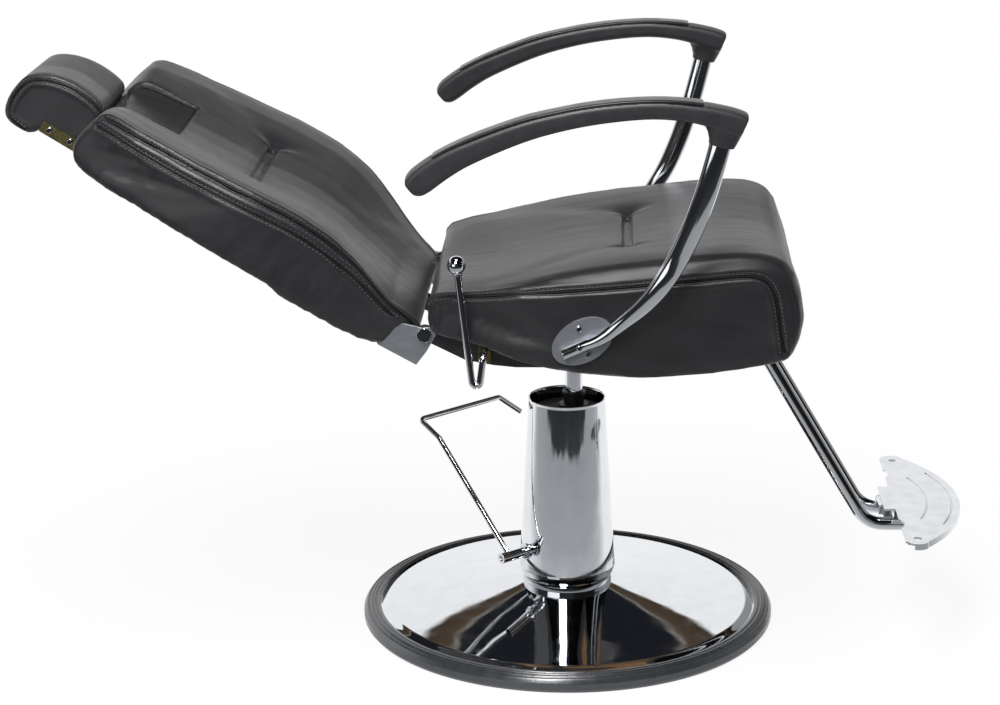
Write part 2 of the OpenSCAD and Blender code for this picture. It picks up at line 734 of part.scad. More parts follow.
back_round = 24;
tuft_u = 301;
notch_u = 510 - notch_len;
back_seam = [[512, 50], [490, 53], [notch_u + 4, 55.5], [notch_u - 4, 56], [368, 58], [325, 60], [308, 61],
    [tuft_u, 61.5], [294, 62], [277, 62.5], [219, 63], [161, 55], [115, 41], [62, 17], [26, 7], [12, -4],
    [30, -25], [49, -43], [104, -47], [162, -43], [200, -41], [222, -34], [319, -31], [420, -30],
    [500, -31], [524, -22], [531, -4], [529, 10], [522, 33]];
back_crown = [[514, 53], [490, 59], [notch_u + 4, 61.5], [notch_u - 4, 62], [368, 65], [325, 67.5],
    [308, 68.5], [tuft_u, 69], [294, 69.5], [277, 70], [219, 70], [161, 60], [115, 41], [62, 17], [26, 7],
    [12, -4], [30, -25], [49, -43], [104, -47], [162, -43], [200, -41], [222, -34], [319, -31], [420, -30],
    [500, -31], [524, -22], [533, -4], [532, 10], [525, 33]];
back_half = back_w / 2;
back_halves = [[0, back_half - 68], [30, back_half - 52], [66, back_half - 34], [115, back_half - 24],
    [161, back_half - 13], [219, back_half - 4], [288, back_half], [368, back_half - 6],
    [450, back_half - 20], [530, back_half - 44]];
hollow_shares = [[20, 0.1], [62, 0.35], [161, 0.9], [301, 1], [470, 0.86], [525, 0.75]];

function back_ring(inset, y_share) = let (a = closed_curve(back_seam, 2), b = closed_curve(back_crown, 2),
    f = rise(inset, back_round)) [for (i = [0:len(a) - 1])
        let (p = a[i] + (b[i] - a[i]) * f, w = table_at(back_halves, p[0]), y = (w - inset) * y_share,
            front = ease((p[1] + 6) / 24) * f,
            hollow = back_hollow * table_at(hollow_shares, p[0]) * front
                * (0.5 + 0.5 * cos(180 * min(1, abs(y) / (w - back_round)))),
            tuft = back_tuft * front * ease(1 - abs(p[0] - tuft_u) / 20)
                * ease((back_tuft_len / 2 + 4 - abs(y)) / 10),
            notch = notch_deep * front * ease((p[0] - notch_u + 4) / 8) * ease((notch_half + 4 - abs(y)) / 8))
            [p[0], y, p[1] - hollow - tuft - notch]];

back_shares = [0.8, (back_tuft_len / 2 + 6) / 232, (notch_half + 4) / 200, (notch_half - 4) / 200, 0.2, 0];

function back_rings() = let (
        round_half = [for (k = [0, 0.1, 0.45, 1]) back_ring(k * back_round, -1)],
        mid_half = [for (s = back_shares) back_ring(back_round, -s)],
        left = concat(round_half, mid_half))
    concat(left, [for (i = [len(left) - 2:-1:0]) [for (p = left[i]) [p[0], -p[1], p[2]]]]);

board_v = -12;
board_t = 12;
board_half = 170;
board_from = 72;
board_to = 498;
cover_half = 186;
bracket_slot = 209.5;
cover_outline = [[62, -43], [104, -46.5], [162, -42.5], [200, -40.5], [222, -34], [319, -31], [420, -30],
    [500, -31]];
guide_y = 60;
post_t = 5;

module back_cushion() {
    clear = seat_gap;
    color("#1b1c1e") in_back() difference() {
        skin(with_sides(back_rings(), [[80, -8], [480, 6]], function(x) table_at(back_halves, x), 2));
        translate([board_from - 2, -board_half - clear, board_v - 60])
            cube([board_to - board_from + 4, 2 * board_half + 2 * clear, 60 + board_t + clear]);
        back_slab(-cover_half - clear, cover_half + clear)
            polygon(concat([[62 - clear, -60]], [for (p = open_curve(cover_outline, 2)) p + [0, 5 + clear]],
                [[500 + clear, -25], [500 + clear, -60]]));
        both_sides() translate([-20, bracket_slot - hinge_t - 3 - clear, -70])
            cube([131, hinge_t + 3 + 2 * clear, 70 + 1]);
        translate([75, -frame_y - clear, -60]) cube([26, 2 * frame_y + 2 * clear, 60 + board_v + clear]);
        translate([-20, -lug_in - lug_t - 3, -60]) cube([100, 2 * lug_in + 2 * lug_t + 6, 60 - 6]);
        both_sides() translate([480, guide_y - post_w / 2 - 2, board_v - 9]) cube([80, post_w + 4, 10]);
    }
}

module back_board() {
    color("#b48a5a") in_back() translate([board_from, -board_half, board_v])
        cube([board_to - board_from, 2 * board_half, board_t]);
}

module back_cover() {
    color("#1b1c1e") in_back() back_slab(-cover_half, cover_half)
        polygon(concat(open_curve(cover_outline, 2),
            back_to_front([for (p = open_curve(cover_outline, 2)) p + [0, 4]])));
}

module hinge_plates() {
    outline = [[48, -44], [62, -34], [110, -34], [110, -12], [60, -8], [9, 6], [-4, 14], [-14, 8], [-14, -20],
        [-11, -43]];
    color("#b9bcc0") in_back() both_sides() difference() {
        union() {
            back_slab(bracket_slot - hinge_t, bracket_slot) difference() {
                polygon(outline);
                circle(r = hinge_r + running);
            }
            back_slab(bracket_slot - 2 - hinge_t, bracket_slot - hinge_t + 0.01)
                polygon([[76, -34], [100, -34], [100, board_v], [76, board_v]]);
        }
    }
}

pin_uv = [-crank[0] * cos(back_slope) + crank[1] * sin(back_slope),
    crank[0] * sin(back_slope) + crank[1] * cos(back_slope)];
frame_y = bracket_slot - hinge_t - 2;
lug_in = 8;
lug_t = 5;

module back_frame() {
    color("#232426") in_back() difference() {
        union() {
            translate([76, -frame_y, -34]) cube([24, 2 * frame_y, 34 + board_v]);
            both_sides() back_slab(lug_in, lug_in + lug_t) {
                polygon([[90, -32], [90, -20], [60, -13], pin_uv + [4, 9], pin_uv + [-6, -7],
                    pin_uv + [6, -10], [60, -32]]);
                translate(pin_uv) circle(r = 10);
            }
            back_slab(-lug_in - 0.5, lug_in + 0.5) translate(pin_uv) circle(r = crank_pin_r);
        }
    }
}

module hinge_bolts() {
    color("#8d9094") {
        both_sides() {
            y_bar(-pivot_x, pivot_z, ear_y - 4, bracket_slot + 3, hinge_r);
            y_bar(-pivot_x, pivot_z, bracket_slot + seat_gap, bracket_slot + 5, hinge_r + 4);
            y_bar(-pivot_x, pivot_z, ear_y - 8, ear_y - seat_gap, hinge_r + 3);
        }
        y_bar(anchor[0], anchor[1], -14, 14, 4);
    }
}

// ---- headrest ----
head_half = head_w / 2;
head_round = 14;
head_seam = [[538, 20], [556, 27], [576, 28.5], [600, 26], [622, 18.5], [637, 8], [643, -10], [645, -30],
    [641, -46], [630, -53], [610, -55], [597, -51], [588, -37], [560, -32], [541, -29], [536, -10],
    [535.5, 6]];
head_crown = [[541, 27], [556, 34], [576, 36.5], [600, 34], [624, 26], [642, 12], [649, -10], [650, -30],
    [645, -49], [632, -57], [610, -58], [596, -53], [587, -38], [560, -33], [541, -30], [535.5, -10],
    [536, 10]];

function head_ring(inset, y_share) = let (a = closed_curve(head_seam, 2), b = closed_curve(head_crown, 2),
    f = rise(inset, head_round)) [for (i = [0:len(a) - 1])
        let (p = a[i] + (b[i] - a[i]) * f, y = (head_half - inset) * y_share,
            saddle = 5 * f * ease((p[1] - 5) / 20)
                * (0.5 + 0.5 * cos(180 * min(1, abs(y) / (head_half - head_round)))))
            [p[0], y, p[1] - saddle]];

function head_rings() = let (
        left = concat([for (k = [0, 0.12, 0.5, 1]) head_ring(k * head_round, -1)],
            [for (s = [0.5, 0]) head_ring(head_round, -s)]))
    concat(left, [for (i = [len(left) - 2:-1:0]) [for (p = left[i]) [p[0], -p[1], p[2]]]]);

core_from = [541, -46];
core_size = [46, 11.5];
head_screws = [[548, -38], [580, -38]];

module headrest_cushion() {
    color("#1b1c1e") in_back() difference() {
        skin([for (r = with_sides(head_rings(), [[570, -12], [610, -14]], function(x) head_half, 0))
            back_to_front(r)]);
        translate([core_from[0] - seat_gap, -head_w, core_from[1] - seat_gap])
            cube([core_size[0] + 2 * seat_gap, 2 * head_w, core_size[1] + 2 * seat_gap]);
    }
}

module headrest_core() {
    color("#b48a5a") in_back() difference() {
        translate([core_from[0], -strap_y, core_from[1]]) cube([core_size[0], 2 * strap_y, core_size[1]]);
        both_sides() for (s = head_screws) translate([s[0], strap_y - 16, s[1]]) rotate([-90, 0, 0])
            cylinder(r = 2.5 + running, h = 200);
    }
}

strap_y = head_half + seat_gap;
strap_from = 534;
strap_to = 592;
strap_low = -48;
strap_high = -31;
post_from = 350;

module headrest_bracket() {
    color("#a88f45") in_back() {
        both_sides() difference() {
            union() {
                back_slab(strap_y, strap_y + strap_t) polygon([[strap_from, strap_low],
                    [strap_to, strap_low + 2], [strap_to, strap_high], [strap_from, strap_high]]);
                translate([strap_from - 2.4, -1, strap_low + 2])
                    cube([strap_t, strap_y + strap_t + 1, board_v - seat_gap - strap_low - 2]);
                translate([post_from, guide_y - post_w / 2, board_v - post_t - seat_gap])
                    cube([strap_from - post_from, post_w, post_t]);
            }
            for (s = head_screws) translate([s[0], 0, s[1]]) rotate([-90, 0, 0])
                cylinder(r = 2.5 + running, h = 200);
        }
    }
}

module headrest_screws() {
    color("#c9ccd0") in_back() both_sides() for (s = head_screws)
        translate([s[0], 0, s[1]]) rotate([-90, 0, 0]) {
        translate([0, 0, strap_y + strap_t]) cylinder(r1 = 5, r2 = 3.6, h = 2.6);
        translate([0, 0, strap_y - 15]) cylinder(r = 2.5, h = strap_t + 15.5);
    }
}

module headrest_guides() {
    wall = 1.6;
    deep = post_t + 2 * seat_gap;
    color("#8d9094") in_back() both_sides() difference() {
        translate([post_from - 10, guide_y - post_w / 2 - wall - seat_gap, board_v - deep - wall])
            cube([150, post_w + 2 * wall + 2 * seat_gap, deep + wall]);
        translate([post_from - 11, guide_y - post_w / 2 - seat_gap, board_v - deep])
            cube([160, post_w + 2 * seat_gap, deep + 1]);
    }
}

// ---- arms ----
flange_back = seat_w / 2 + 0.3 + seat_gap;
flange_out = flange_back + flange_t;
tube_thin = 12;
tube_face = flange_out + seat_gap + tube_thin;
arm_y = seat_w / 2 + arm_spread;
arm_path = [[-1, 473], [25, 485], [53, 499], [104, 545], [139, 593], [164, 645], [182, 697], [196, 748],
    [203, 778]];
arm_leans = [[-4, 0], [22, 0], [60, 0.1], [139, 0.52], [203, 0.98]];

function arm_lean(x) = table_at(arm_leans, x);

module arm_flanges() {
    color("#a8abb0") both_sides() difference() {
        union() {
            translate([arm_spot[0], flange_out, arm_spot[1]]) rotate([90, -30, 0]) linear_extrude(flange_t)
                polygon([for (a = [0:6:354]) [flange_a * cos(a), flange_b * sin(a)]]);
            y_bar(arm_spot[0], arm_spot[1], pan_half + side_board_t, flange_back + 1, 12);
        }
        for (s = arm_screw_spots) y_bar(s[0], s[1], 100, 400, 3 + running);
        y_bar(tube_screw[0], tube_screw[1], flange_back - 12, 400, 3 + running);
    }
}

tube_screw = [21, 484];

module arm_tube_form(grow) {
    foot_y = flange_out + tube_thin / 2 + seat_gap;
    line = [for (q = arm_path) [q[0], foot_y + (arm_y - 2 - foot_y) * arm_lean(q[0]), q[1]]];
    m = len(line) - 1;
    end = line[m] + unit(line[m] - line[m - 1]) * grow;
    p = concat(open_curve(line, 4), grow > 0 ? [end] : []);
    n = len(p) - 1;
    rings = [for (i = [0:n]) let (t = unit(p[min(i + 1, n)] - p[max(i - 1, 0)]),
            side = unit([0, 1, 0] - t * t[1]), up = cross(t, side), swell = ease((p[i][0] - 20) / 150),
            wide = (tube_narrow + (tube_wide - tube_narrow) * swell) / 2 + grow,
                thin = (tube_thin + 6 * swell) / 2 + grow)
        [for (a = [0:22.5:337.5]) p[i] + up * wide * cos(a) + side * thin * sin(a)]];
    skin(rings);
}

module arm_tube() {
    difference() {
        arm_tube_form(0);
        y_bar(tube_screw[0], tube_screw[1], 200, 400, 3 + running);
    }
}

module arm_tube_left() {
    color("#c9ccd0") arm_tube();
}

module arm_tube_right() {
    color("#c9ccd0") mirror([0, 1, 0]) arm_tube();
}

// Middle line of the arm pad from its rear tip, with its thickness.
pad_line = [[-196, 713, 20], [-191, 717, 31], [-181, 724, 36], [-154, 743, 35], [-120, 761, 32],
    [-55, 787, 29], [0, 802, 27], [55, 811.5, 26], [115, 816, 25], [165, 812, 26], [205, 803, 30],
    [226, 796, 31], [231, 794, 26]];

function pad_rings(line, width) = let (p = open_curve(line, 3), n = len(p) - 1) [for (i = [0:n])
    let (a = p[max(i - 1, 0)], b = p[min(i + 1, n)], t = unit([b[0] - a[0], b[1] - a[1]]),
        half = p[i][2] / 2, w = width / 2 * (i == 0 || i == n ? 0.8 : 1))
    [for (k = [0:15]) let (c = 360 * k / 16, sx = sign(cos(c)) * pow(abs(cos(c)), 0.6),
            sy = sign(sin(c)) * pow(abs(sin(c)), 0.6))
        [p[i][0] - t[1] * half * sx, w * sy, p[i][1] + t[0] * half * sx]]];

// The socket that grips the tube's end: its rise from its mouth, its reach behind and in front of the tube's
// middle line, and its width.
sock_grip = 10.3;
sock = [[0, 15.5, 15.5, 27], [7, 16.5, 17.5, 28], [14, 20, 19.5, 31], [21, 25.5, 21, 36], [28, 33, 21.5, 40]];

function sock_rings() = let (m = len(arm_path) - 1, t = unit(arm_path[m] - arm_path[m - 1]),
    mouth = arm_path[m] - t * sock_grip)
    [for (q = sock) [for (k = [0:15]) let (c = 360 * k / 16, reach = cos(c) > 0 ? q[1] : q[2],
        r = reach * sign(cos(c)) * pow(abs(cos(c)), 0.6), y = q[3] / 2 * sign(sin(c)) * pow(abs(sin(c)), 0.6))
        [mouth[0] + t[0] * q[0] - t[1] * r, y, mouth[1] + t[1] * q[0] + t[0] * r]]];

module pad_body() {
    difference() {
        union() {
            skin(pad_rings(pad_line, pad_w));
            skin(sock_rings());
        }
        inlay_blank(0.2);
    }
}

inlay_w = 30;
inlay_t = 5;
inlay_line = [[-158, 740.4], [-120, 761.5], [-55, 787.5], [0, 802], [55, 811.5], [115, 816], [160, 813.5],
    [176, 811]];

module inlay_blank(clear) {
    p = open_curve([for (q = inlay_line) [q[0], q[1], 0]], 3);
    n = len(p) - 1;
    half = [for (i = [0:n]) table_at([for (q = pad_line) [q[0], q[2] / 2]], p[i][0])];
    rings = [for (i = [0:n]) let (t = unit(p[min(i + 1, n)] - p[max(i - 1, 0)]), up = [-t[1], t[0]],
            w = inlay_w / 2 + clear, low = half[i] - 4 - clear, high = half[i] + 0.6)
        [for (q = [[-w, low], [-w, high - 1.2], [-w + 3, high], [w - 3, high], [w, high - 1.2], [w, low]])
            [p[i][0] + up[0] * q[1], q[0], p[i][1] + up[1] * q[1]]]];
    skin(rings);
}

module arm_pad() {
    difference() {
        translate([0, arm_y, 0]) pad_body();
        arm_tube_form(seat_gap);
    }
}

module arm_pad_left() {
    color("#202123") arm_pad();
}

module arm_pad_right() {
    color("#202123") mirror([0, 1, 0]) arm_pad();
}

module arm_inlay_left() {
    color("#2b2c2f") translate([0, arm_y, 0]) inlay_blank(0);
}

module arm_inlay_right() {
    color("#2b2c2f") mirror([0, 1, 0]) translate([0, arm_y, 0]) inlay_blank(0);
}

module arm_screws() {
    color("#c9ccd0") both_sides() {
        for (s = arm_screw_spots) {
            y_bar(s[0], s[1], pan_half + 2, flange_out + 1, 3);
            translate([s[0], flange_out, s[1]]) rotate([-90, 0, 0]) cylinder(r1 = 5, r2 = 3.5, h = 2.6);
        }
        y_bar(tube_screw[0], tube_screw[1], flange_out - 10, tube_face + 0.4, 3);
        translate([tube_screw[0], tube_face + seat_gap, tube_screw[1]]) rotate([-90, 0, 0])
            cylinder(r1 = 4.6, r2 = 3.2, h = 2.2);
    }
}

// ---- foot rest ----
plate_z = 177;
plate_x0 = 472;
leg_front_x = 492;
pin_x = 456;
pin_z = 171;
pin_r = 3;
plate_barrel = 5;
lug_y = 20;
hole_spot = [490, 167];
plate_centre = 568 - plate_r;

module foot_tubes() {
    color("#c9ccd0") both_sides() bent_bar([[leg_head[0], leg_y, leg_head[1]],
        [leg_corner[0], leg_y, leg_corner[1]], [leg_front_x, leg_y, leg_low_z]], leg_r, leg_bend);
}

module foot_bracket() {
    base_z = leg_low_z + leg_r;
    color("#a8abb0") difference() {
        union() {
            translate([pin_x + 1, -leg_y - 6, base_z]) cube([13, 2 * leg_y + 12, 3]);
            both_sides() {
                y_bar(pin_x, pin_z, lug_y, lug_y + 4, 5);
                translate([pin_x - 5, lug_y, base_z]) cube([16, 4, pin_z - base_z]);
            }
        }
        y_bar(pin_x, pin_z, -60, 60, pin_r + running);
    }
}

module foot_pin() {
    color("#8d9094") y_bar(pin_x, pin_z, -lug_y - 6, lug_y + 6, pin_r);
}

module foot_buffers() {
    base_z = leg_low_z + leg_r;
    color("#1d1e20") both_sides() translate([leg_front_x - 14, leg_y, 0])
        difference() {
            translate([0, 0, leg_low_z + leg_r - 3])
                cylinder(r = 6, h = plate_z - seat_gap - leg_low_z - leg_r + 3);
            translate([-20, 0, leg_low_z]) rotate([0, 90, 0]) cylinder(r = leg_r, h = 40);
        }
}

module plate_outline(inset) {
    tip_r = 17 - inset;
    difference() {
        union() {
            intersection() {
                translate([plate_centre, 0]) circle(r = plate_r - inset, $fn = 180);
                translate([plate_x0 + inset, -plate_half + 14]) square([200, 2 * plate_half - 28]);
            }
            both_sides_flat() translate([plate_x0 + 17, plate_half - 17]) circle(r = tip_r);
            translate([pin_x, -48 + inset]) square([40, 96 - 2 * inset]);
        }
        both_sides_flat() translate([plate_x0 - 26, 108]) circle(r = 32);
    }
}

module both_sides_flat() {
    children();
    mirror([0, 1]) children();
}

module foot_plate() {
    color("#d5d8db") difference() {
        union() {
            translate([0, 0, plate_z]) linear_extrude(plate_t) plate_outline(0);
            translate([0, 0, plate_z + plate_t - plate_skirt]) linear_extrude(plate_skirt) intersection() {
                difference() {
                    plate_outline(0);
                    plate_outline(3);
                }
                translate([plate_x0 + 12, -300]) square([200, 600]);
            }
            y_bar(pin_x, pin_z, 0.5 - lug_y, lug_y - 0.5, plate_barrel);
            translate([pin_x, 0.5 - lug_y, pin_z]) cube([plate_barrel, 2 * lug_y - 1, plate_z - pin_z + 1]);
        }
        y_bar(pin_x, pin_z, -60, 60, pin_r + running);
        both_sides() translate([hole_spot[0], hole_spot[1], plate_z - 10]) cylinder(r = 5.5, h = 30);
        for (g = [[plate_r - 12, 24], [plate_r - 47, 22]]) translate([plate_centre, 0, plate_z + plate_t])
            rotate(-g[1]) rotate_extrude(angle = 2 * g[1], $fn = 180) translate([g[0], 0])
                circle(r = 1.4, $fn = 16);
    }
}

base_rim();
base_dome();
base_disc();
base_bolts();
pump_housing();
pump_gland();
column_collar();
column_cover();
shaft_bush();
pump_plunger();
plunger_spring();
pedal_hub();
pedal_rod();
ram();
ram_piston();
seat_hub();
swivel_plate();
swivel_bolts();
seat_frame();
seat_pan();
seat_cushion();
lever_bracket();
release_lever();
lever_knob();
strut_barrel();
strut_rod();
hinge_bolts();
back_frame();
hinge_plates();
back_board();
back_cushion();
back_cover();
headrest_guides();
headrest_bracket();
headrest_core();
headrest_cushion();
headrest_screws();
arm_flanges();
arm_tube_right();
arm_tube_left();
arm_pad_right();
arm_pad_left();
arm_inlay_right();
arm_inlay_left();
arm_screws();
foot_tubes();
foot_bracket();
foot_buffers();
foot_pin();
foot_plate();
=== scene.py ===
from math import cos, exp, pi, radians, sin, tan
import bmesh
import bpy
from mathutils import Matrix, Vector
from mathutils.bvhtree import BVHTree
from mathutils.kdtree import KDTree


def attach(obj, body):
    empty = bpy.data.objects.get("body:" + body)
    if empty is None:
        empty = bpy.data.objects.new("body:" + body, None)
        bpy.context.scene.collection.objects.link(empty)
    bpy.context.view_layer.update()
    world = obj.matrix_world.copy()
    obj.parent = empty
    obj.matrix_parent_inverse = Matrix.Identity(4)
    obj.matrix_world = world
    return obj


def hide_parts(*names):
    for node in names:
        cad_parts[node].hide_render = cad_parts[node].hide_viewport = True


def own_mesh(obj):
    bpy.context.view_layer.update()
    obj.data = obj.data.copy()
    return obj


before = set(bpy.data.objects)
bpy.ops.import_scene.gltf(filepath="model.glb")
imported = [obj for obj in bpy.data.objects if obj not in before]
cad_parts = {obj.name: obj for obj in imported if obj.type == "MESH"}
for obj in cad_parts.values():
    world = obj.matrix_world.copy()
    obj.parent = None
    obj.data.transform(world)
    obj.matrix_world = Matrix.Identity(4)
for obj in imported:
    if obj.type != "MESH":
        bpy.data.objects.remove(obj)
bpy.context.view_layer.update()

# ---- Floor rim ----
# An EPDM rubber ring, moulded in one piece, that grips the edge of the spun dome and keeps it off the floor.
# Three fine grooves run round its top. It is stretched over the dome's edge and holds by its own spring.


def linear(code):
    """An sRGB hex colour as linear light."""
    parts = [int(code[i:i + 2], 16) / 255 for i in (0, 2, 4)]
    return tuple(c / 12.92 if c <= 0.04045 else ((c + 0.055) / 1.055) ** 2.4 for c in parts) + (1.0,)


def add(tree, kind, fields=None, sockets=None):
    """Adds a shader node with its settings. A socket takes a value, or another node's output."""
    made = tree.nodes.new("ShaderNode" + kind)
    for name, value in (fields or {}).items():
        setattr(made, name, value)
    for name, value in (sockets or {}).items():
        if isinstance(value, bpy.types.NodeSocket):
            tree.links.new(value, made.inputs[name])
        else:
            made.inputs[name].default_value = value
    return made


def finish_of(name, colour, roughness, metallic=0.0):
    """A new material with its colour, roughness and metallic set, its node tree, its shader, and the place on
    the object that its patterns are drawn by."""
    made = bpy.data.materials.new(name)
    made.use_nodes = True
    tree = made.node_tree
    shader = tree.nodes["Principled BSDF"]
    shader.inputs["Base Color"].default_value = linear(colour)
    shader.inputs["Roughness"].default_value = roughness
    shader.inputs["Metallic"].default_value = metallic
    return made, tree, shader, add(tree, "TexCoord").outputs["Object"]


def blots(tree, place, size, detail, **more):
    """A soft noise over a place, with blots of a size in metres."""
    return add(tree, "TexNoise", None,
               {"Vector": place, "Scale": 1 / size, "Detail": detail, **more}).outputs[0]


def between(tree, share, one, other):
    """A colour between two hex colours."""
    return add(tree, "Mix", {"data_type": "RGBA"}, {0: share, 6: linear(one), 7: linear(other)}).outputs[2]


def ranged(tree, value, low, high, start=0.0, end=1.0):
    """A value carried from the range between start and end to the range between low and high."""
    return add(tree, "MapRange", None, {"Value": value, "From Min": start, "From Max": end, "To Min": low,
                                        "To Max": high}).outputs["Result"]


def raised(tree, height, depth, strength):
    """A surface raised by a pattern, to a depth in metres."""
    return add(tree, "Bump", None, {"Height": height, "Distance": depth,
                                    "Strength": strength}).outputs["Normal"]


def worn(tree, shader, colour=None, roughness=None, normal=None):
    """Feeds the shader's colour, roughness and normal."""
    for socket, output in (("Base Color", colour), ("Roughness", roughness), ("Normal", normal)):
        if output is not None:
            tree.links.new(output, shader.inputs[socket])


def mottled(name, one, other, size, detail, smooth, rough, metallic=0.0):
    """A finish whose colour and roughness vary together, in soft blots of a size in metres."""
    made, tree, shader, place = finish_of(name, one, rough, metallic)
    blot = blots(tree, place, size, detail)
    worn(tree, shader, between(tree, blot, one, other), ranged(tree, blot, smooth, rough))
    return made, tree, shader, place


def turned(outline, steps=180, centre=(0, 0)):
    """A solid turned about an upright axis from a closed outline of radius and height, in mm."""
    bm = bmesh.new()
    ring = [bm.verts.new((r / 1000, 0, z / 1000)) for r, z in outline]
    wire = [bm.edges.new((ring[i - 1], ring[i])) for i in range(len(ring))]
    bmesh.ops.spin(bm, geom=ring + wire, cent=(0, 0, 0), axis=(0, 0, 1), angle=2 * pi, steps=steps,
                   use_merge=True)
    bmesh.ops.remove_doubles(bm, verts=bm.verts, dist=1e-6)
    bmesh.ops.translate(bm, verts=bm.verts, vec=(centre[0] / 1000, centre[1] / 1000, 0))
    bmesh.ops.recalc_face_normals(bm, faces=bm.faces)
    return bm


def broken(bm, size, segments=2, sharp=30):
    """Breaks the sharp edges to a radius in mm."""
    edges = [e for e in bm.edges if len(e.link_faces) == 2 and e.calc_face_angle() > radians(sharp)]
    bmesh.ops.bevel(bm, geom=edges, offset=size / 1000, offset_type="OFFSET", segments=segments, profile=0.5,
                    affect="EDGES", clamp_overlap=True, material=-1)
    return bm


def meshed(name, bm):
    """A mesh made from a bmesh, which is freed."""
    mesh = bpy.data.meshes.new(name)
    bm.to_mesh(mesh)
    bm.free()
    return mesh


def linked(name, data):
    """A new object in the scene."""
    made = bpy.data.objects.new(name, data)
    bpy.context.scene.collection.objects.link(made)
    return made


def piece(name, bm, material, body, slot, *nodes, sharp=38, even=True):
    """Makes the piece, puts it on its body, and hides the CAD solids that it stands for. Its flat faces shine
    evenly up to their rounded edges, unless it is reshaped later."""
    made = linked(name, meshed(name, bm))
    made.data.materials.append(material)
    made.data.shade_smooth()
    made.data.set_sharp_from_angle(angle=radians(sharp))
    if even:
        made.modifiers.new("even_shine", "WEIGHTED_NORMAL").keep_sharp = True
    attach(made, body)
    if nodes:
        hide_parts(*nodes)
    return made


# Moulded EPDM rubber: near black, half glossy from the polished mould, and greyed in patches by dust.
rubber, tree, shader, place = mottled("moulded_epdm_rubber", "26282c", "3a3d42", 0.018, 5.0, 0.16, 0.32)
# A 0.4 mm mould grain, drawn at 1.2 mm so that it shows.
worn(tree, shader, normal=raised(tree, blots(tree, place, 0.0012, 2.0), 0.00004, 0.5))
shader.inputs["IOR"].default_value = 1.9

rim_outline = [(257, 0), (296, 0), (300, 5), (300, 14), (297.5, 18), (296, 20)]
for groove in (292.6, 287.4, 282.2):
    crest = 23.9 - max(0, groove - 286) * 0.42
    rim_outline += [(groove + 1.3, crest - 0.3), (groove + 0.6, crest - 1.3), (groove - 0.6, crest - 1.2),
                    (groove - 1.3, crest + 0.2)]
rim_outline += [(278, 24), (275, 22.5), (275, 19.4), (281.3, 19.3), (281.3, 16.7), (275, 16.6), (275, 3),
                (257, 3)]
piece("floor_rim", broken(turned(rim_outline), 0.5), rubber, "base", "rim_rubber", "base_rim")

# ---- Base dome ----
# A wide, nearly straight steel cone, spun over a chuck and chrome plated. Its edge curls down to a flat lip
# in the rubber. It drops over the floor disc and is held down by the pump's flange.

# Bright chromium plate on spun steel: a hard, faintly blue mirror with soft waves from the spinning roller
# and dull smears where it was wiped.
chrome, tree, shader, place = finish_of("bright_chromium_plate", "e6e8ea", 0.05, 1.0)
smear = blots(tree, place, 0.03, 6.0, Roughness=0.62)
dull = ranged(tree, smear, 0.025, 0.11, 0.4, 0.8)
tint = between(tree, smear, "eceef0", "d9dce0")
wave = blots(tree, place, 0.07, 1.0)
bump = raised(tree, wave, 0.0012, 0.35)
worn(tree, shader, tint, dull, bump)


def eased(t):
    """A step from 0 to 1 that starts and ends softly."""
    t = min(1, max(0, t))
    return t * t * (3 - 2 * t)


radii = [281, 277] + [274.5 - k for k in range(16)] + [258.5 - 198.5 * k / 40 for k in range(1, 41)]
dome_top = [(r, 19 + 4.5 * eased((274.5 - r) / 14) + 38.5 * (max(0, 274.5 - r) / 214.5) ** 1.14)
            for r in radii]
dome_outline = dome_top + [(r, z - 2) for r, z in reversed(dome_top)]
piece("spun_dome", turned(dome_outline, 240), chrome, "base", "chrome", "base_dome")

# ---- Floor disc and its bolts ----
# A grey iron casting that gives the chair its low weight, ground flat below. Four plated hexagon bolts come
# up through it into the pump's flange.


def coat(material, *nodes):
    """Finishes CAD solids that keep their own shape."""
    for name in nodes:
        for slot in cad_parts[name].material_slots:
            slot.material = material


def from_solid(node, size, segments=2):
    """A merged copy of a CAD solid with its edges broken, in mm."""
    bm = bmesh.new()
    bm.from_mesh(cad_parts[node].data)
    bmesh.ops.remove_doubles(bm, verts=bm.verts, dist=2e-6)
    bmesh.ops.dissolve_limit(bm, angle_limit=radians(1), verts=bm.verts, edges=bm.edges)
    return broken(bm, size, segments)


def dressed(name, node, size, material, body, slot, segments=2):
    """Stands a piece with broken edges in for a CAD solid."""
    return piece(name, from_solid(node, size, segments), material, body, slot, node)


# Sand-cast grey iron under primer: dark grey, matt, with the sand's pits left in it.
iron, tree, shader, place = finish_of("sand_cast_iron", "4a4c4f", 0.62, 0.25)
sand = blots(tree, place, 0.0016, 5.0)
patch = blots(tree, place, 0.03, 3.0)
grey = between(tree, patch, "3f4144", "585a5e")
bump = raised(tree, sand, 0.0003, 0.7)
worn(tree, shader, colour=grey, normal=bump)

# Bright zinc plate on steel: soft blue-grey with a faint crystal spangle, duller than chrome.
zinc, tree, shader, place = finish_of("bright_zinc_plate", "b4b8bd", 0.3, 1.0)
spangle = add(tree, "TexVoronoi", None, {"Vector": place, "Scale": 1 / 0.0035}).outputs["Distance"]
dull = ranged(tree, spangle, 0.22, 0.42)
grey = between(tree, spangle, "bdc1c6", "9ea3a9")
worn(tree, shader, grey, dull)

coat(iron, "base_disc")
dressed("flange_bolts", "base_bolts", 0.7, zinc, "base", "zinc_steel")

# ---- Pump body, ram and gland ----
# The pump is one iron casting whose oil well is bored for the ram. The ram is ground steel bar, hard chromed,
# and slides through a moulded nitrile gland. The column's tapered cover hides all but the ram's top.

coat(iron, "pump_housing")

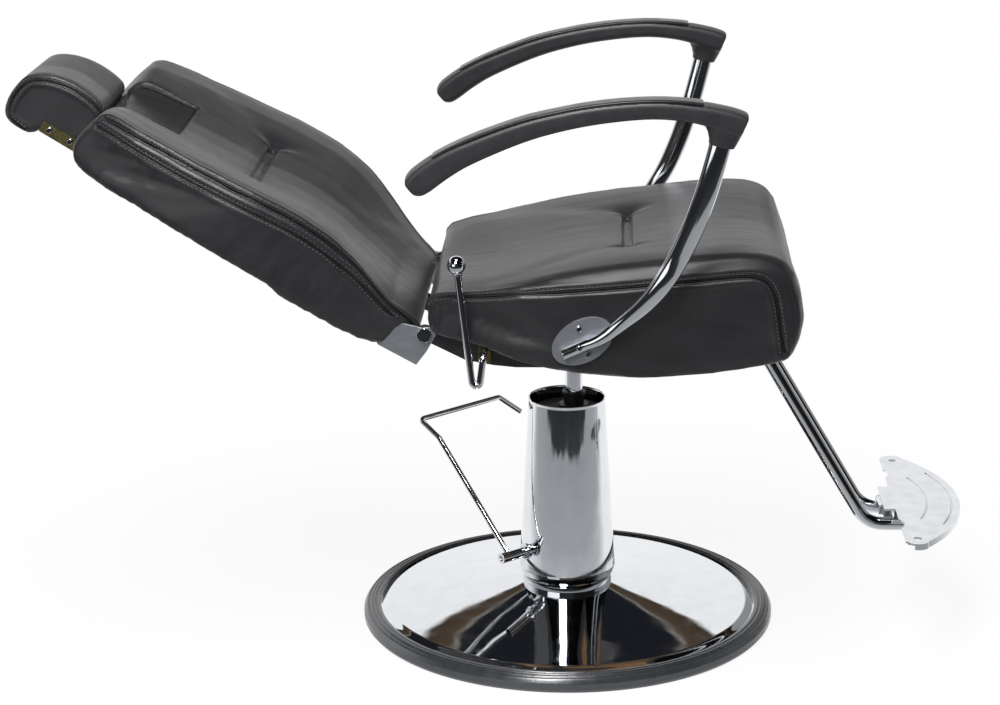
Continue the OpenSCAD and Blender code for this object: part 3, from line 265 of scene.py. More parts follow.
# Sintered bronze, as pressed: warm yellow brown, oily, with fine open pores.
bronze, tree, shader, place = finish_of("sintered_bronze", "b08d4a", 0.35, 1.0)
pores = add(tree, "TexVoronoi", None, {"Vector": place, "Scale": 1 / 0.0008}).outputs["Distance"]
worn(tree, shader, normal=raised(tree, pores, 0.0001, 0.5))
coat(bronze, "shaft_bush")

# Moulded nitrile: dead black and slightly oily.
nitrile = mottled("moulded_nitrile", "17181a", "17181a", 0.006, 3.0, 0.25, 0.6)[0]
coat(nitrile, "ram_piston")
dressed("ram_gland", "pump_gland", 0.8, nitrile, "base", "seal_rubber", segments=3)

coat(zinc, "pump_plunger")
# The return spring stands on the pocket's floor, and the plunger's head presses it shorter by its stroke;
# here it keeps the CAD solid's own length.
coil = bmesh.new()
coil.from_mesh(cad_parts["plunger_spring"].data)
bmesh.ops.remove_doubles(coil, verts=coil.verts, dist=2e-6)
return_spring = piece("return_spring", coil, zinc, "base", "zinc_steel", "plunger_spring", even=False)
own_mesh(return_spring)
ram_outline = [(0, 140), (12.5, 140), (12.5, 416), (0, 416)]
piece("ground_ram", turned(ram_outline, 64, (10, 0)), chrome, "ram", "chrome", "ram")

# ---- Column cover and collar ----
# The cover is a tapered steel tube with a rolled lip, polished and chromed. It stands on a turned collar
# that closes the gap to the dome.

cover_outline = [(68, 78.2), (69.4, 78), (70, 78.8), (55.3, 328), (55.2, 329.6), (56.2, 331.6),
                 (56.1, 332.8), (55.2, 333), (54, 332.4), (53, 330), (53.3, 326)]
piece("tapered_cover", turned(cover_outline, 160), chrome, "base", "chrome", "column_cover")

collar_outline = [(54, 62), (63.2, 62), (64, 62.6), (66.6, 66.6), (67.6, 68.4), (69.8, 75.8), (70, 77.2),
                  (69.2, 77.9), (54, 77.9)]
piece("turned_collar", turned(collar_outline, 160), chrome, "base", "dark_chrome", "column_collar")

# ---- Foot pump pedal ----
# A bright bar bent to a hook is welded to a short hub. The hub turns on a shaft that runs in the bush
# through the cover and works the pump's plunger with a cam. Pressing the bar's level end pumps the seat up.


def bent(corners, bend, steps=12):
    """The middle line of a bar that is bent to a radius at each inner corner, in mm."""
    corners = [Vector(c) for c in corners]
    line = [corners[0]]
    for before, corner, after in zip(corners, corners[1:], corners[2:]):
        back, on = (before - corner).normalized(), (after - corner).normalized()
        half = back.angle(on) / 2
        hub = corner + (back + on).normalized() * bend / sin(half)
        spoke = corner + back * bend / tan(half) - hub
        axis = spoke.cross(corner + on * bend / tan(half) - hub).normalized()
        line += [hub + Matrix.Rotation((pi - 2 * half) * k / steps, 3, axis) @ spoke
                 for k in range(steps + 1)]
    return line + [corners[-1]]


def heading(line, i, reach=1):
    """The way a line runs at one of its points."""
    return (line[min(i + reach, len(line) - 1)] - line[max(i - reach, 0)]).normalized()


def full_turn(steps):
    """The angles of even steps once round."""
    return [2 * pi * k / steps for k in range(steps)]


def bar(line, radius, sides=28):
    """The rings of a round bar along its middle line, in mm."""
    rings, across = [], None
    for i, point in enumerate(line):
        along = heading(line, i)
        across = across or along.orthogonal()
        across = (across - along * across.dot(along)).normalized()
        other = along.cross(across)
        rings.append([point + radius * (across * cos(a) + other * sin(a)) for a in full_turn(sides)])
    return rings


def lofted(rings):
    """A closed skin over a row of rings, in mm."""
    bm = bmesh.new()
    loops = []
    for ring in rings:
        verts = [bm.verts.new(Vector(p) / 1000) for p in ring]
        loops.append([bm.edges.new((verts[i - 1], verts[i])) for i in range(len(verts))])
    for near, far in zip(loops, loops[1:]):
        bmesh.ops.bridge_loops(bm, edges=near + far)
    bmesh.ops.edgeloop_fill(bm, edges=loops[0])
    bmesh.ops.edgeloop_fill(bm, edges=loops[-1])
    bmesh.ops.recalc_face_normals(bm, faces=bm.faces)
    return bm


shaft_turn = radians(222)
shaft_out = Vector((cos(shaft_turn), sin(shaft_turn), 0))
shaft_across = Vector((sin(shaft_turn), -cos(shaft_turn), 0))


def from_shaft(out, across, up):
    """A point by its place along the pedal's shaft, across it and above it, in mm."""
    return shaft_out * out + shaft_across * across + Vector((0, 0, 114 + up))


# Bright chromium plate on drawn bar: a hard mirror with faint smears and no waves.
bright_bar = mottled("chromium_plate_on_drawn_bar", "eaecee", "dadde0", 0.02, 4.0, 0.04, 0.12, 1.0)[0]

pedal_line = bent([from_shaft(110, 2, 2), from_shaft(110, 160, 139), from_shaft(110, 206, 157),
                   from_shaft(-48, 213, 157), from_shaft(-87, 209, 127)], 9)
pedal_bar = broken(lofted(bar(pedal_line, 4.2)), 1.2, 3)
piece("pedal_bar", pedal_bar, bright_bar, "pedal", "chrome", "pedal_rod")
dressed("pedal_shaft", "pedal_hub", 0.7, chrome, "pedal", "chrome")

# ---- Swivel hub, plate and seat frame ----
# The hub is an iron casting on the ram's end. A pressed plate turns on it and carries two square steel tubes
# with welded ears at the sides for the back's hinges. Plate, tubes and ears are powder coated black.

# Black polyester powder coat on steel: satin, with a fine orange peel.
powder, tree, shader, place = mottled("black_powder_coat", "17181a", "25272a", 0.02, 4.0, 0.34, 0.55)
worn(tree, shader, normal=raised(tree, blots(tree, place, 0.0016, 2.0), 0.00008, 0.5))

dressed("swivel_hub", "seat_hub", 1.2, iron, "seat", "cast_iron")
dressed("pressed_plate", "swivel_plate", 0.8, powder, "seat", "black_steel")
dressed("plate_bolts", "swivel_bolts", 0.6, zinc, "seat", "zinc_steel")
dressed("welded_frame", "seat_frame", 0.8, powder, "seat", "black_steel")

# ---- Seat pan ----
# Curved birch plywood, 12 mm, pressed in a mould and left raw below, with two side boards glued to it. The
# cover is pulled over its edges and stapled.

# Rotary-cut birch plywood: pale brown with long soft figure on the face and thin darker glue lines between
# the 1.5 mm plies at the edges. It is dusty brown below, where it was never finished.
plywood, tree, shader, place = finish_of("raw_birch_plywood", "8f6a45", 0.7)
long_grain = add(tree, "Mapping", None, {"Vector": place, "Scale": (6.0, 90.0, 6.0)}).outputs["Vector"]
figure = blots(tree, long_grain, 1.0, 5.0, Distortion=0.6)
plies = add(tree, "TexWave", {"bands_direction": "Z"}, {"Vector": place, "Scale": 1 / (0.0015 * 2 * pi) / 2})
ply_line = ranged(tree, plies.outputs["Fac"], 0.75, 1.0, 0.0, 0.2)
wood = between(tree, figure, "6e4d31", "a07a50")
darkening = add(tree, "Mix", {"data_type": "RGBA", "blend_type": "MULTIPLY"}, {0: 0.5, 6: wood, 7: ply_line})
bump = raised(tree, figure, 0.0003, 0.4)
worn(tree, shader, colour=darkening.outputs[2], normal=bump)
coat(plywood, "seat_pan", "back_board", "headrest_core")

# ---- Seat cushion ----
# Moulded foam under a sewn cover of black PVC leatherette. A crowned top panel, a deep front roll and two
# flat side panels meet in double-stitched seams, and a short double row sewn through the middle dimples it.


def shaped(obj):
    """Applies an object's modifiers to its mesh."""
    seen = obj.evaluated_get(bpy.context.evaluated_depsgraph_get())
    mesh = bpy.data.meshes.new_from_object(seen)
    obj.modifiers.clear()
    obj.data = mesh


def changed(obj, kind, **settings):
    """Adds a modifier with its settings."""
    made = obj.modifiers.new(kind.lower(), kind)
    for name, value in settings.items():
        setattr(made, name, value)
    return made


def stuffed(name, cover, fillings, voxel, pinned, cap):
    """Lays an even net over a CAD cushion and what fills its hollows, and swells it like a stuffed cover.
    Points for which pinned is true are held, and no other moves further than the cap."""
    bm = bmesh.new()
    bm.from_mesh(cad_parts[cover].data)
    for filling in fillings:
        part = bmesh.new()
        part.from_mesh(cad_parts[filling].data)
        bmesh.ops.remove_doubles(part, verts=part.verts, dist=2e-6)
        part.normal_update()
        for vert in part.verts:
            vert.co += vert.normal * 0.0008
        bm.from_mesh(meshed("filling", part))
    bmesh.ops.remove_doubles(bm, verts=bm.verts, dist=2e-6)
    made = linked(name, meshed(name, bm))
    form = linked("form", made.data.copy())
    changed(made, "REMESH", mode="VOXEL", voxel_size=voxel)
    changed(made, "SMOOTH", factor=0.5, iterations=4)
    changed(made, "SHRINKWRAP", target=form)
    changed(made, "SMOOTH", factor=0.3, iterations=1)
    shaped(made)
    bpy.data.objects.remove(form)
    held = made.vertex_groups.new(name="held")
    fixed = [pinned(vert.co) for vert in made.data.vertices]
    held.add([index for index, hold in enumerate(fixed) if hold], 1.0, "REPLACE")
    start = [(vert.co.copy(), vert.normal.copy()) for vert in made.data.vertices]
    cloth = changed(made, "CLOTH")
    for setting, value in (("vertex_group_mass", "held"), ("quality", 4), ("mass", 0.25),
                           ("tension_stiffness", 15), ("compression_stiffness", 15),
                           ("shear_stiffness", 8), ("bending_stiffness", 1.5), ("use_pressure", True),
                           ("uniform_pressure_force", 1.4)):
        setattr(cloth.settings, setting, value)
    cloth.settings.effector_weights.gravity = 0
    cloth.collision_settings.use_collision = False
    for step in range(1, 21):
        bpy.context.scene.frame_set(step)
    shaped(made)
    bpy.context.scene.frame_set(1)
    swell = [min(cap, max(0, (vert.co - home).dot(out)))
             for vert, (home, out) in zip(made.data.vertices, start)]
    around = [[] for _ in swell]
    for edge in made.data.edges:
        a, b = edge.vertices
        around[a].append(b)
        around[b].append(a)
    for _ in range(12):
        swell = [0 if hold else (rise + sum(swell[k] for k in near)) / (len(near) + 1)
                 for rise, hold, near in zip(swell, fixed, around)]
    for vert, (home, out), rise in zip(made.data.vertices, start, swell):
        vert.co = home + out * rise
    changed(made, "SUBSURF", levels=1, render_levels=1)
    shaped(made)
    return made


def covered(obj, cover):
    """Gives a stuffed cushion its cover's material."""
    obj.data.materials.clear()
    obj.data.materials.append(cover)
    obj.data.shade_smooth()


def spaced(points, step=0.002):
    """A line of points in metres, filled in at an even step."""
    line = []
    for near, far in zip(points, points[1:]):
        count = max(1, round((far - near).length / step))
        line += [near.lerp(far, k / count) for k in range(count)]
    return line + [points[-1]]


def curved(points, steps=6):
    """A smooth line through points."""
    line = []
    for i in range(len(points) - 1):
        a, b, c, d = points[max(i - 1, 0)], points[i], points[i + 1], points[min(i + 2, len(points) - 1)]
        for k in range(steps):
            t = k / steps
            line.append(0.5 * (2 * b + (c - a) * t + (2 * a - 5 * b + 4 * c - d) * t * t
                               + (3 * b - a - 3 * c + d) * t ** 3))
    return line + [points[-1]]


def nearness(lines):
    """A tree that finds how far a place is from sewn lines."""
    points = [p for line in lines for p in line]
    tree = KDTree(len(points))
    for i, p in enumerate(points):
        tree.insert(p, i)
    tree.balance()
    return tree


def dented(obj, dip_at):
    """Moves each point of a cover inward, by the dip that a function gives for its place."""
    moved = [vert.co - vert.normal * dip_at(vert.co) for vert in obj.data.vertices]
    for vert, place in zip(obj.data.vertices, moved):
        vert.co = place


def drawn_in(obj, lines, depth, width, sides=0.0):
    """Draws the cover in along sewn lines, to a depth that fades over a width, and lets it stand up beside
    them."""
    near = nearness(lines)

    def dip_at(co):
        far = near.find(co)[2]
        if far >= width * 4:
            return 0.0
        return depth * exp(-(far / width) ** 2) - sides * exp(-((far - 2.2 * width) / width) ** 2)

    dented(obj, dip_at)


def pulled(obj, spot, outward, across, depth=0.009):
    """The fan-shaped dip that the end of a sewn row pulls into the cover: narrow at the row, wider beyond
    it."""
    def dip_at(co):
        gap = co - spot
        if gap.length > 0.07:
            return 0.0
        out, side = gap.dot(outward), gap.dot(across)
        wide = 0.0065 + max(out, 0)
        fade = exp(-(out / 0.02) ** 1.5) if out > 0 else exp(-(out / 0.012) ** 2)
        return depth * fade * exp(-(side / wide) ** 2)

    dented(obj, dip_at)


def skin_of(cover):
    """A tree that finds the nearest place on a cover."""
    mesh = cover.data
    return BVHTree.FromPolygons([v.co for v in mesh.vertices], [p.vertices for p in mesh.polygons])


def settled(points, passes):
    """A row of places or directions with its small jumps smoothed out."""
    for _ in range(passes):
        between_ends = [(a + b * 2 + c) / 4 for a, b, c in zip(points, points[1:], points[2:])]
        points = [points[0]] + between_ends + [points[-1]]
    return points


def welted(name, lines, cover, material, body, radius, passes=60):
    """The folded edge that a seam leaves: a thin rounded ridge of cover along the sewn line."""
    skin = skin_of(cover)
    bm = bmesh.new()
    for line in lines:
        found = [skin.find_nearest(p)[:2] for p in line]
        spots, ups = settled([spot for spot, _ in found], passes), settled([up for _, up in found], passes)
        rings = []
        for i in range(0, len(line), 2):
            along = heading(spots, i, 2)
            up = (ups[i] - along * ups[i].dot(along)).normalized()
            out = along.cross(up)
            rings.append([(spots[i] + up * radius * (0.6 + cos(a)) + out * radius * sin(a)) * 1000
                          for a in full_turn(8)])
        bm.from_mesh(meshed("ridge", lofted(rings)))
    return piece(name, bm, material, body, "leatherette", sharp=70)


def stitched(name, lines, cover, body, spacing=0.0042):
    """Rows of lockstitches lying on a cover, each a short waxed thread sunk at both ends."""
    skin = skin_of(cover)
    bm = bmesh.new()
    for line in lines:
        length = 0.0
        for near, far in zip(line, line[1:]):
            length += (far - near).length
            if length < spacing:
                continue
            length = 0.0
            spot, up = skin.find_nearest(far)[:2]
            along = (far - near - up * (far - near).dot(up)).normalized()
            turn = Matrix((along, up.cross(along), up)).transposed().to_4x4()
            turn.translation = spot + up * 0.0001
            bmesh.ops.create_uvsphere(bm, u_segments=6, v_segments=4, radius=0.001,
                                      matrix=turn @ Matrix.Diagonal((1.6, 0.55, 0.5, 1)))
    return piece(name, bm, thread, body, "leatherette")


# Waxed polyester thread, black with a soft shine and twisted. It is drawn mid grey as painted highlight, so
# that the stitched rows read as light lines on the black cover.
thread, tree, shader, place = finish_of("waxed_polyester_thread", "56575c", 0.45)
worn(tree, shader, normal=raised(tree, blots(tree, place, 0.0006, 1.0), 0.0001, 0.6))

# Painted seam shade: a thin dead black cord sunk in each seam, standing for the shade down in it, where no
# light reaches.
seam_shade_cord = mottled("painted_seam_shade", "060607", "060607", 0.002, 2.0, 0.5, 0.8)[0]


def leatherette(name, turn):
    """PVC leatherette on a knitted back, embossed with a fine calf grain: black, satin, with the grey bloom
    of a wiped vinyl and faint creases along the way it was stretched, given by the turn about the Y axis."""
    made, tree, shader, place = finish_of(name, "1f1e20", 0.42)
    bloom = blots(tree, place, 0.06, 4.0)
    stretch = add(tree, "Mapping", None, {"Vector": place, "Rotation": (0, turn, 0)}).outputs["Vector"]
    drawn = add(tree, "Mapping", None, {"Vector": stretch, "Scale": (1 / 0.09, 1 / 0.003, 1 / 0.03)})
    creases = blots(tree, drawn.outputs["Vector"], 1.0, 4.0, Roughness=0.6)
    # The calf grain's cells are 0.8 mm across, and are drawn at 1.3 mm so that they show.
    cells = add(tree, "TexVoronoi", {"feature": "SMOOTH_F1"}, {"Vector": place, "Scale": 1 / 0.0013})
    shade = ranged(tree, creases, 0.0, 1.0, 0.3, 0.75)
    black = between(tree, shade, "1b1a1c", "2b2a2d")
    grey = add(tree, "Mix", {"data_type": "RGBA"}, {0: bloom, 6: black, 7: linear("222124")}).outputs[2]
    # Painted shade: in the neck's recess and up its walls the colour darkens to near black, and the cover is
    # duller there.
    darkening = add(tree, "Attribute", {"attribute_name": "recess_shade"}).outputs["Fac"]
    grey = add(tree, "Mix", {"data_type": "RGBA"}, {0: darkening, 6: grey, 7: linear("0b0b0c")}).outputs[2]
    dull = ranged(tree, creases, 0.33, 0.47, 0.3, 0.7)
    dull = add(tree, "Mix", None, {0: darkening, 2: dull, 3: 0.8}).outputs[0]
    fold = raised(tree, creases, 0.0004, 0.5)
    grain = add(tree, "Bump", None, {"Height": cells.outputs["Distance"], "Distance": 0.0001, "Strength": 0.5,
                                     "Normal": fold}).outputs["Normal"]
    worn(tree, shader, grey, dull, grain)
    shader.inputs["Sheen Weight"].default_value = 0.08
    shader.inputs["Sheen Roughness"].default_value = 0.45
    shader.inputs["Sheen Tint"].default_value = linear("b9b2ad")
    return made


def seat_side(x):
    """Half the seat's width at a place along it, in mm."""
    return 222 + 30 * eased((x + 190) / 150) - 12 * eased((-150 - x) / 30)


seat_edge = [(-176, 524), (-172, 539), (-111, 547), (-5, 556), (56, 560), (118, 566), (180, 572), (239, 578),
             (262, 575), (276, 560), (283, 532), (288, 500), (292, 474)]
seat_side_seams = [spaced(curved([Vector((x, side * seat_side(x), z)) / 1000 for x, z in seat_edge]))
                   for side in (-1, 1)]
pan_under = [(-138, 489), (-85, 467), (-32, 452), (22, 443), (102, 437), (181, 442), (234, 449),
             (280, 459)]
pan_line = curved([Vector((x, 0, z)) / 1000 for x, z in pan_under])


def on_pan(co):
    """True low down on the cushion, where the cover is pulled round the pan and stapled."""
    low = min(pan_line, key=lambda p: abs(p.x - co.x)).z
    return co.z < low + 0.008


seat_tufts = [spaced([Vector((x, -90, 580)) / 1000, Vector((x, 90, 580)) / 1000]) for x in (82, 90)]
seat_sewn = nearness(seat_side_seams + seat_tufts)
seat = stuffed("seat_cushion_cover", "seat_cushion", ["seat_pan"], voxel=0.006, cap=0.003,
               pinned=lambda co: on_pan(co) or seat_sewn.find(co)[2] < 0.005)
seat_skin = leatherette("black_pvc_leatherette_seat", 0.07)
covered(seat, seat_skin)
# The foam bulges back and down over the pan's rear edge, further than its plain form.
for vert in seat.data.vertices:
    rear = eased((-0.1 - vert.co.x) / 0.06)
    vert.co.x -= rear * (0.006 + 0.008 * eased((0.52 - vert.co.z) / 0.03))
    vert.co.z -= rear * 0.007 * eased((0.515 - vert.co.z) / 0.02) * eased((abs(vert.co.y) - 0.2) / 0.01)
drawn_in(seat, seat_side_seams, 0.0036, 0.0036, 0.0014)


def laid_on(obj, lines, away):
    """Drops lines on to a cushion, towards it from a direction."""
    for line in lines:
        for p in line:
            hit, spot = obj.ray_cast(p + away * 0.2, -away)[:2]
            if hit:
                p.xyz = spot


laid_on(seat, seat_tufts, Vector((0, 0, 1)))
for side in (-1, 1):
    pulled(seat, Vector((0.086, side * 0.09, 0.582)), Vector((0, side, 0)), Vector((1, 0, 0)))
laid_on(seat, seat_tufts, Vector((0, 0, 1)))
drawn_in(seat, seat_tufts, 0.003, 0.0026, 0.001)

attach(seat, "seat")
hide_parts("seat_cushion")


def slab(outline, near, far):
    """A solid made by drawing a side view out across the chair, in mm."""
    bm = bmesh.new()
    face = bm.faces.new([bm.verts.new((x / 1000, near / 1000, z / 1000)) for x, z in outline])
    drawn = bmesh.ops.extrude_face_region(bm, geom=[face])["geom"]
    bmesh.ops.translate(bm, verts=[v for v in drawn if isinstance(v, bmesh.types.BMVert)],
                        vec=(0, (far - near) / 1000, 0))
    bmesh.ops.recalc_face_normals(bm, faces=bm.faces)
    return bm


def hollowed(obj, pockets):
    """Cuts pockets out of a cushion's body, where a pan, a hinge or a lug goes."""
    tools = [linked("pocket", meshed("pocket", pocket)) for pocket in pockets]
    for tool in tools:
        changed(obj, "BOOLEAN", operation="DIFFERENCE", solver="MANIFOLD", object=tool)
    shaped(obj)
    for tool in tools:
        bpy.data.objects.remove(tool)
    obj.data.set_sharp_from_angle(angle=radians(50))


pan_top = [(p.x * 1000, p.z * 1000 + 13.3) for p in pan_line]
hollowed(seat, [slab(pan_top + [(280, 380), (-138.3, 380)], -205.3, 205.3)])


def beside(lines, gap, cover):
    """Lines laid beside sewn lines at a distance across the cover, one on each side."""
    skin = skin_of(cover)
    made = []
    for line in lines:
        for side in (-gap, gap):
            ups = settled([skin.find_nearest(p)[1] for p in line], 60)
            made.append(settled([skin.find_nearest(p + ups[i].cross(heading(line, i)) * side)[0]
                                 for i, p in enumerate(line)], 20))
    return made


def seamed(name, lines, cover, material, body, cord_radius, welt_radius, stitch_gap):
    """Dresses a sewn seam: a cord of painted shade sunk in it, a folded edge on each side, and a row of
    stitches beyond.
    """
    welt_gap = 0.0028
    welted(name + "_cord", lines, cover, seam_shade_cord, body, cord_radius)
    welted(name + "_welt", beside(lines, welt_gap, cover), cover, material, body, welt_radius)
    stitched(name + "_stitches", beside(lines, stitch_gap, cover), cover, body)


seamed("seat_seam", seat_side_seams, seat, seat_skin, "seat", 0.0013, 0.001, 0.0056)
stitched("seat_tuft_stitches", seat_tufts, seat, "seat")

# ---- Recline lever ----
# A bright steel rod, bent to a crank, turns in a strap under the seat and in the frame's ear. Its upright
# arm ends in a turned ferrule and a polished ball. Both are chromed.

lever_side = -248.1
knob_spot, lever_elbow = Vector((-142, lever_side, 592)), Vector((-118.2, lever_side, 385.7))
lever_up = (knob_spot - lever_elbow).normalized()
lever_tip = knob_spot - 14 * lever_up
lever = lofted(bar(bent([lever_tip, lever_elbow, (-108, lever_side, 464), (-108, -18, 464)], 5.5), 5))
bmesh.ops.create_cube(lever, size=1, matrix=Matrix.Translation((-0.101, -0.021, 0.464))
                      @ Matrix.Diagonal((0.014, 0.006, 0.006, 1)))
piece("lever_rod", lever, bright_bar, "lever", "chrome", "release_lever")

ball = [(0, -0.5), (5.5, -0.5), (6, 0), (6, 2.4), (6.5, 3.3)]
ball += [(12.5 * cos(radians(a)), 14 + 12.5 * sin(radians(a))) for a in range(-56, 91, 4)]
knob = turned(ball, 64)
bmesh.ops.transform(knob, verts=knob.verts, matrix=Matrix.Translation(lever_tip / 1000)
                    @ lever_up.to_track_quat("Z", "Y").to_matrix().to_4x4())
piece("lever_ball", knob, chrome, "lever", "chrome", "lever_knob")


def ramped(tree, value, stops):
    """The colour at a value along a row of stops, each a place and a colour."""
    made = add(tree, "ValToRGB", None, {"Fac": value})
    ends = made.color_ramp.elements
    ends[0].position, ends[0].color = stops[0]
    ends[1].position, ends[1].color = stops[-1]
    for spot, colour in stops[1:-1]:
        ends.new(spot).color = colour
    return made.outputs["Color"]


# Yellow passivated zinc on pressed steel: an old olive gold with a greenish and pinkish film, half bright.
gold, tree, shader, place = finish_of("yellow_passivated_zinc", "7a7048", 0.3, 1.0)
film = blots(tree, place, 0.012, 4.0, Distortion=1.0)
tone = ramped(tree, film, [(0.3, linear("58563c")), (0.5, linear("77714b")), (0.7, linear("8f8158"))])
dull = ranged(tree, film, 0.2, 0.45)
worn(tree, shader, tone, dull)
dressed("lever_strap", "lever_bracket", 0.6, gold, "seat", "yellow_zinc")

# ---- Lockable gas strut ----
# A black enamelled gas spring between the frame and the back. The lever's tab presses its release and the
# back can lean. Its rod is ground and hard chromed.

dressed("gas_spring_tube", "strut_barrel", 0.8, powder, "strut_barrel", "black_steel")
coat(chrome, "strut_rod")

# ---- Back: frame, hinges and board ----
# Two pressed steel plates, nickelled to a satin, hang the back on shouldered bolts through the frame's ears.
# A square bar welded between them carries the lug for the gas spring, behind a flat plywood board.

# Satin nickel on pressed steel: light grey, brushed along the plate, with soft broad highlights.
nickel, tree, shader, place = finish_of("satin_nickel_plate", "b9bdc2", 0.34, 1.0)
drawn = add(tree, "Mapping", None, {"Vector": place, "Scale": (60, 900, 900)}).outputs["Vector"]
brushed = blots(tree, drawn, 1.0, 3.0)
dull = ranged(tree, brushed, 0.4, 0.6)
grey = between(tree, brushed, "a9adb3", "c4c8cd")
bump = raised(tree, brushed, 0.00005, 0.5)
worn(tree, shader, grey, dull, bump)

dressed("hinge_shoulder_bolts", "hinge_bolts", 0.7, chrome, "seat", "bright_screw")
dressed("back_bar", "back_frame", 0.8, powder, "back", "black_steel")
dressed("hinge_side_plates", "hinge_plates", 0.8, nickel, "back", "satin_steel")

# ---- Back cushion ----
# Moulded foam with a deep hollow for the back, under a sewn leatherette cover. The front panel meets a narrow
# band in a double-stitched seam, and the band meets the side panel in another. A sewn-down border frames the
# recess for the neck, and a short double row dimples the middle.

slope, lift = Vector((-cos(radians(30)), 0, 0.5)), Vector((0.5, 0, cos(radians(30))))
pivot = Vector((-189, 0, 485))


def on_back(u, v, y=0.0):
    """A point in metres from its place up the back, out of its front and across it, in mm."""
    return (pivot + slope * u + lift * v + Vector((0, y, 0))) / 1000


def of_back(co):
    """Where a point in metres is up the back and out of its front, in mm."""
    gap = co * 1000 - pivot
    return gap.dot(slope), gap.dot(lift)


def table_at(table, x):
    """Reads a table of pairs with an eased step between its rows."""
    if x <= table[0][0]:
        return table[0][1]
    for (x0, y0), (x1, y1) in zip(table, table[1:]):
        if x <= x1:
            return y0 + (y1 - y0) * eased((x - x0) / (x1 - x0))
    return table[-1][1]


back_sides = [(0, 188), (30, 204), (66, 222), (115, 232), (161, 243), (219, 252), (288, 256), (368, 250),
              (450, 236), (530, 212)]
front_edge = [(515, 50), (490, 53), (426, 56), (368, 58), (325, 60), (277, 62.5), (219, 63), (161, 55),
              (115, 41), (62, 17), (26, 7), (15, 0)]
band_depth = [(0, 7), (60, 10), (160, 16), (420, 18), (515, 15)]
back_front_seams, back_side_seams = [], []
for side in (-1, 1):
    edge = curved([Vector((u, v, 0)) for u, v in front_edge])
    back_front_seams.append(spaced([on_back(p.x, p.y, side * table_at(back_sides, p.x)) for p in edge]))
    back_side_seams.append(spaced([on_back(p.x, p.y - table_at(band_depth, p.x),
                                           side * (table_at(back_sides, p.x) + 0.5)) for p in edge]))
back_tufts = [spaced([on_back(u, 38, -105), on_back(u, 38, 105)]) for u in (297, 305)]
neck_border = [spaced([on_back(514, 30, -91), on_back(426, 30, -91), on_back(426, 30, 91),
                       on_back(514, 30, 91)])]
back_sewn = nearness(back_front_seams + back_side_seams + back_tufts)


def held_on_back(co):
    """True behind the cushion, where the cover is stapled to the board, and along its sewn lines."""
    u, v = of_back(co)
    return v < -24 or back_sewn.find(co)[2] < 0.005


back = stuffed("back_cushion_cover", "back_cushion", ["back_board", "back_cover"], voxel=0.0062,
               cap=0.0025, pinned=held_on_back)
back_skin = leatherette("black_pvc_leatherette_back", radians(30))
covered(back, back_skin)
# The foam stands 6 mm further down over the hinge than its plain form, and the neck's recess deepens upward
# from 2 mm at its lower edge.
for vert in back.data.vertices:
    u, v = of_back(vert.co)
    vert.co -= slope * 0.006 * eased((60 - u) / 45) * eased((v + 20) / 15)
    sunk = eased((u - 424) / 5) * eased((93.5 - abs(vert.co.y) * 1000) / 5) * eased((v - 20) / 8)
    vert.co -= lift * sunk * (0.002 + 0.011 * (u - 424) / 90)
laid_on(back, back_tufts, lift)
for side in (-1, 1):
    pulled(back, back_tufts[0][0 if side < 0 else -1] + slope * 0.004, Vector((0, side, 0)), slope)
laid_on(back, back_tufts, lift)
neck_tree = nearness(neck_border)
for _ in range(8):
    bm = bmesh.new()
    bm.from_mesh(back.data)
    rough = [v for v in bm.verts if of_back(v.co)[1] > 15 and abs(v.co.y) < 0.11 and of_back(v.co)[0] > 410
             and neck_tree.find(v.co)[2] < 0.035]
    bmesh.ops.smooth_vert(bm, verts=rough, factor=0.5, use_axis_x=True, use_axis_y=True, use_axis_z=True)
    bm.to_mesh(back.data)
    bm.free()
laid_on(back, neck_border, lift)
drawn_in(back, back_front_seams, 0.0045, 0.0042, 0.0016)
drawn_in(back, back_side_seams, 0.0028, 0.0032, 0.0012)
drawn_in(back, back_tufts, 0.003, 0.0026, 0.001)
drawn_in(back, neck_border, 0.002, 0.003, 0.001)


def back_slab(outline, near, far):
    """A solid drawn across the chair from an outline in the back's own measures, in mm."""
    return slab([(p.x * 1000, p.z * 1000) for p in (on_back(u, v) for u, v in outline)], near, far)


hinge_room = [(-20, -80), (111, -80), (111, 1), (-20, 1)]
hollowed(back, [back_slab([(70, -80), (500, -80), (500, 0.3), (70, 0.3)], -170.3, 170.3),
                back_slab([(61.7, -80), (500.3, -80), (500.3, -26), (61.7, -34)], -186.3, 186.3),
                back_slab(hinge_room, -209.8, -202.2), back_slab(hinge_room, 202.2, 209.8),
                back_slab([(-20, -80), (80, -80), (80, -6), (-20, -6)], -26, 26)])
# Where the painted shade of the neck's recess falls: 1 in the recess and its walls, fading to 0 beyond.
recess_shade = back.data.attributes.new("recess_shade", "FLOAT", "POINT")
for vert in back.data.vertices:
    u, v = of_back(vert.co)
    shade = eased((u - 423) / 3) * eased((95 - abs(vert.co.y) * 1000) / 3) * eased((v - 20) / 8)
    recess_shade.data[vert.index].value = shade
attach(back, "back")
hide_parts("back_cushion")
# The neck border's dark line is painted shade: a dead black cord laid along it.
welted("neck_border_cord", neck_border, back, seam_shade_cord, "back", 0.0011, 3)
seamed("back_seam", back_front_seams + back_side_seams, back, back_skin, "back", 0.0013, 0.001, 0.0056)
stitched("back_tuft_stitches", back_tufts, back, "back")

# The rear cover is a black knitted polyester cloth, stretched flat and stapled: matt, with a fine mesh.
knit, tree, shader, place = finish_of("black_knitted_polyester", "1c1c1e", 0.85)
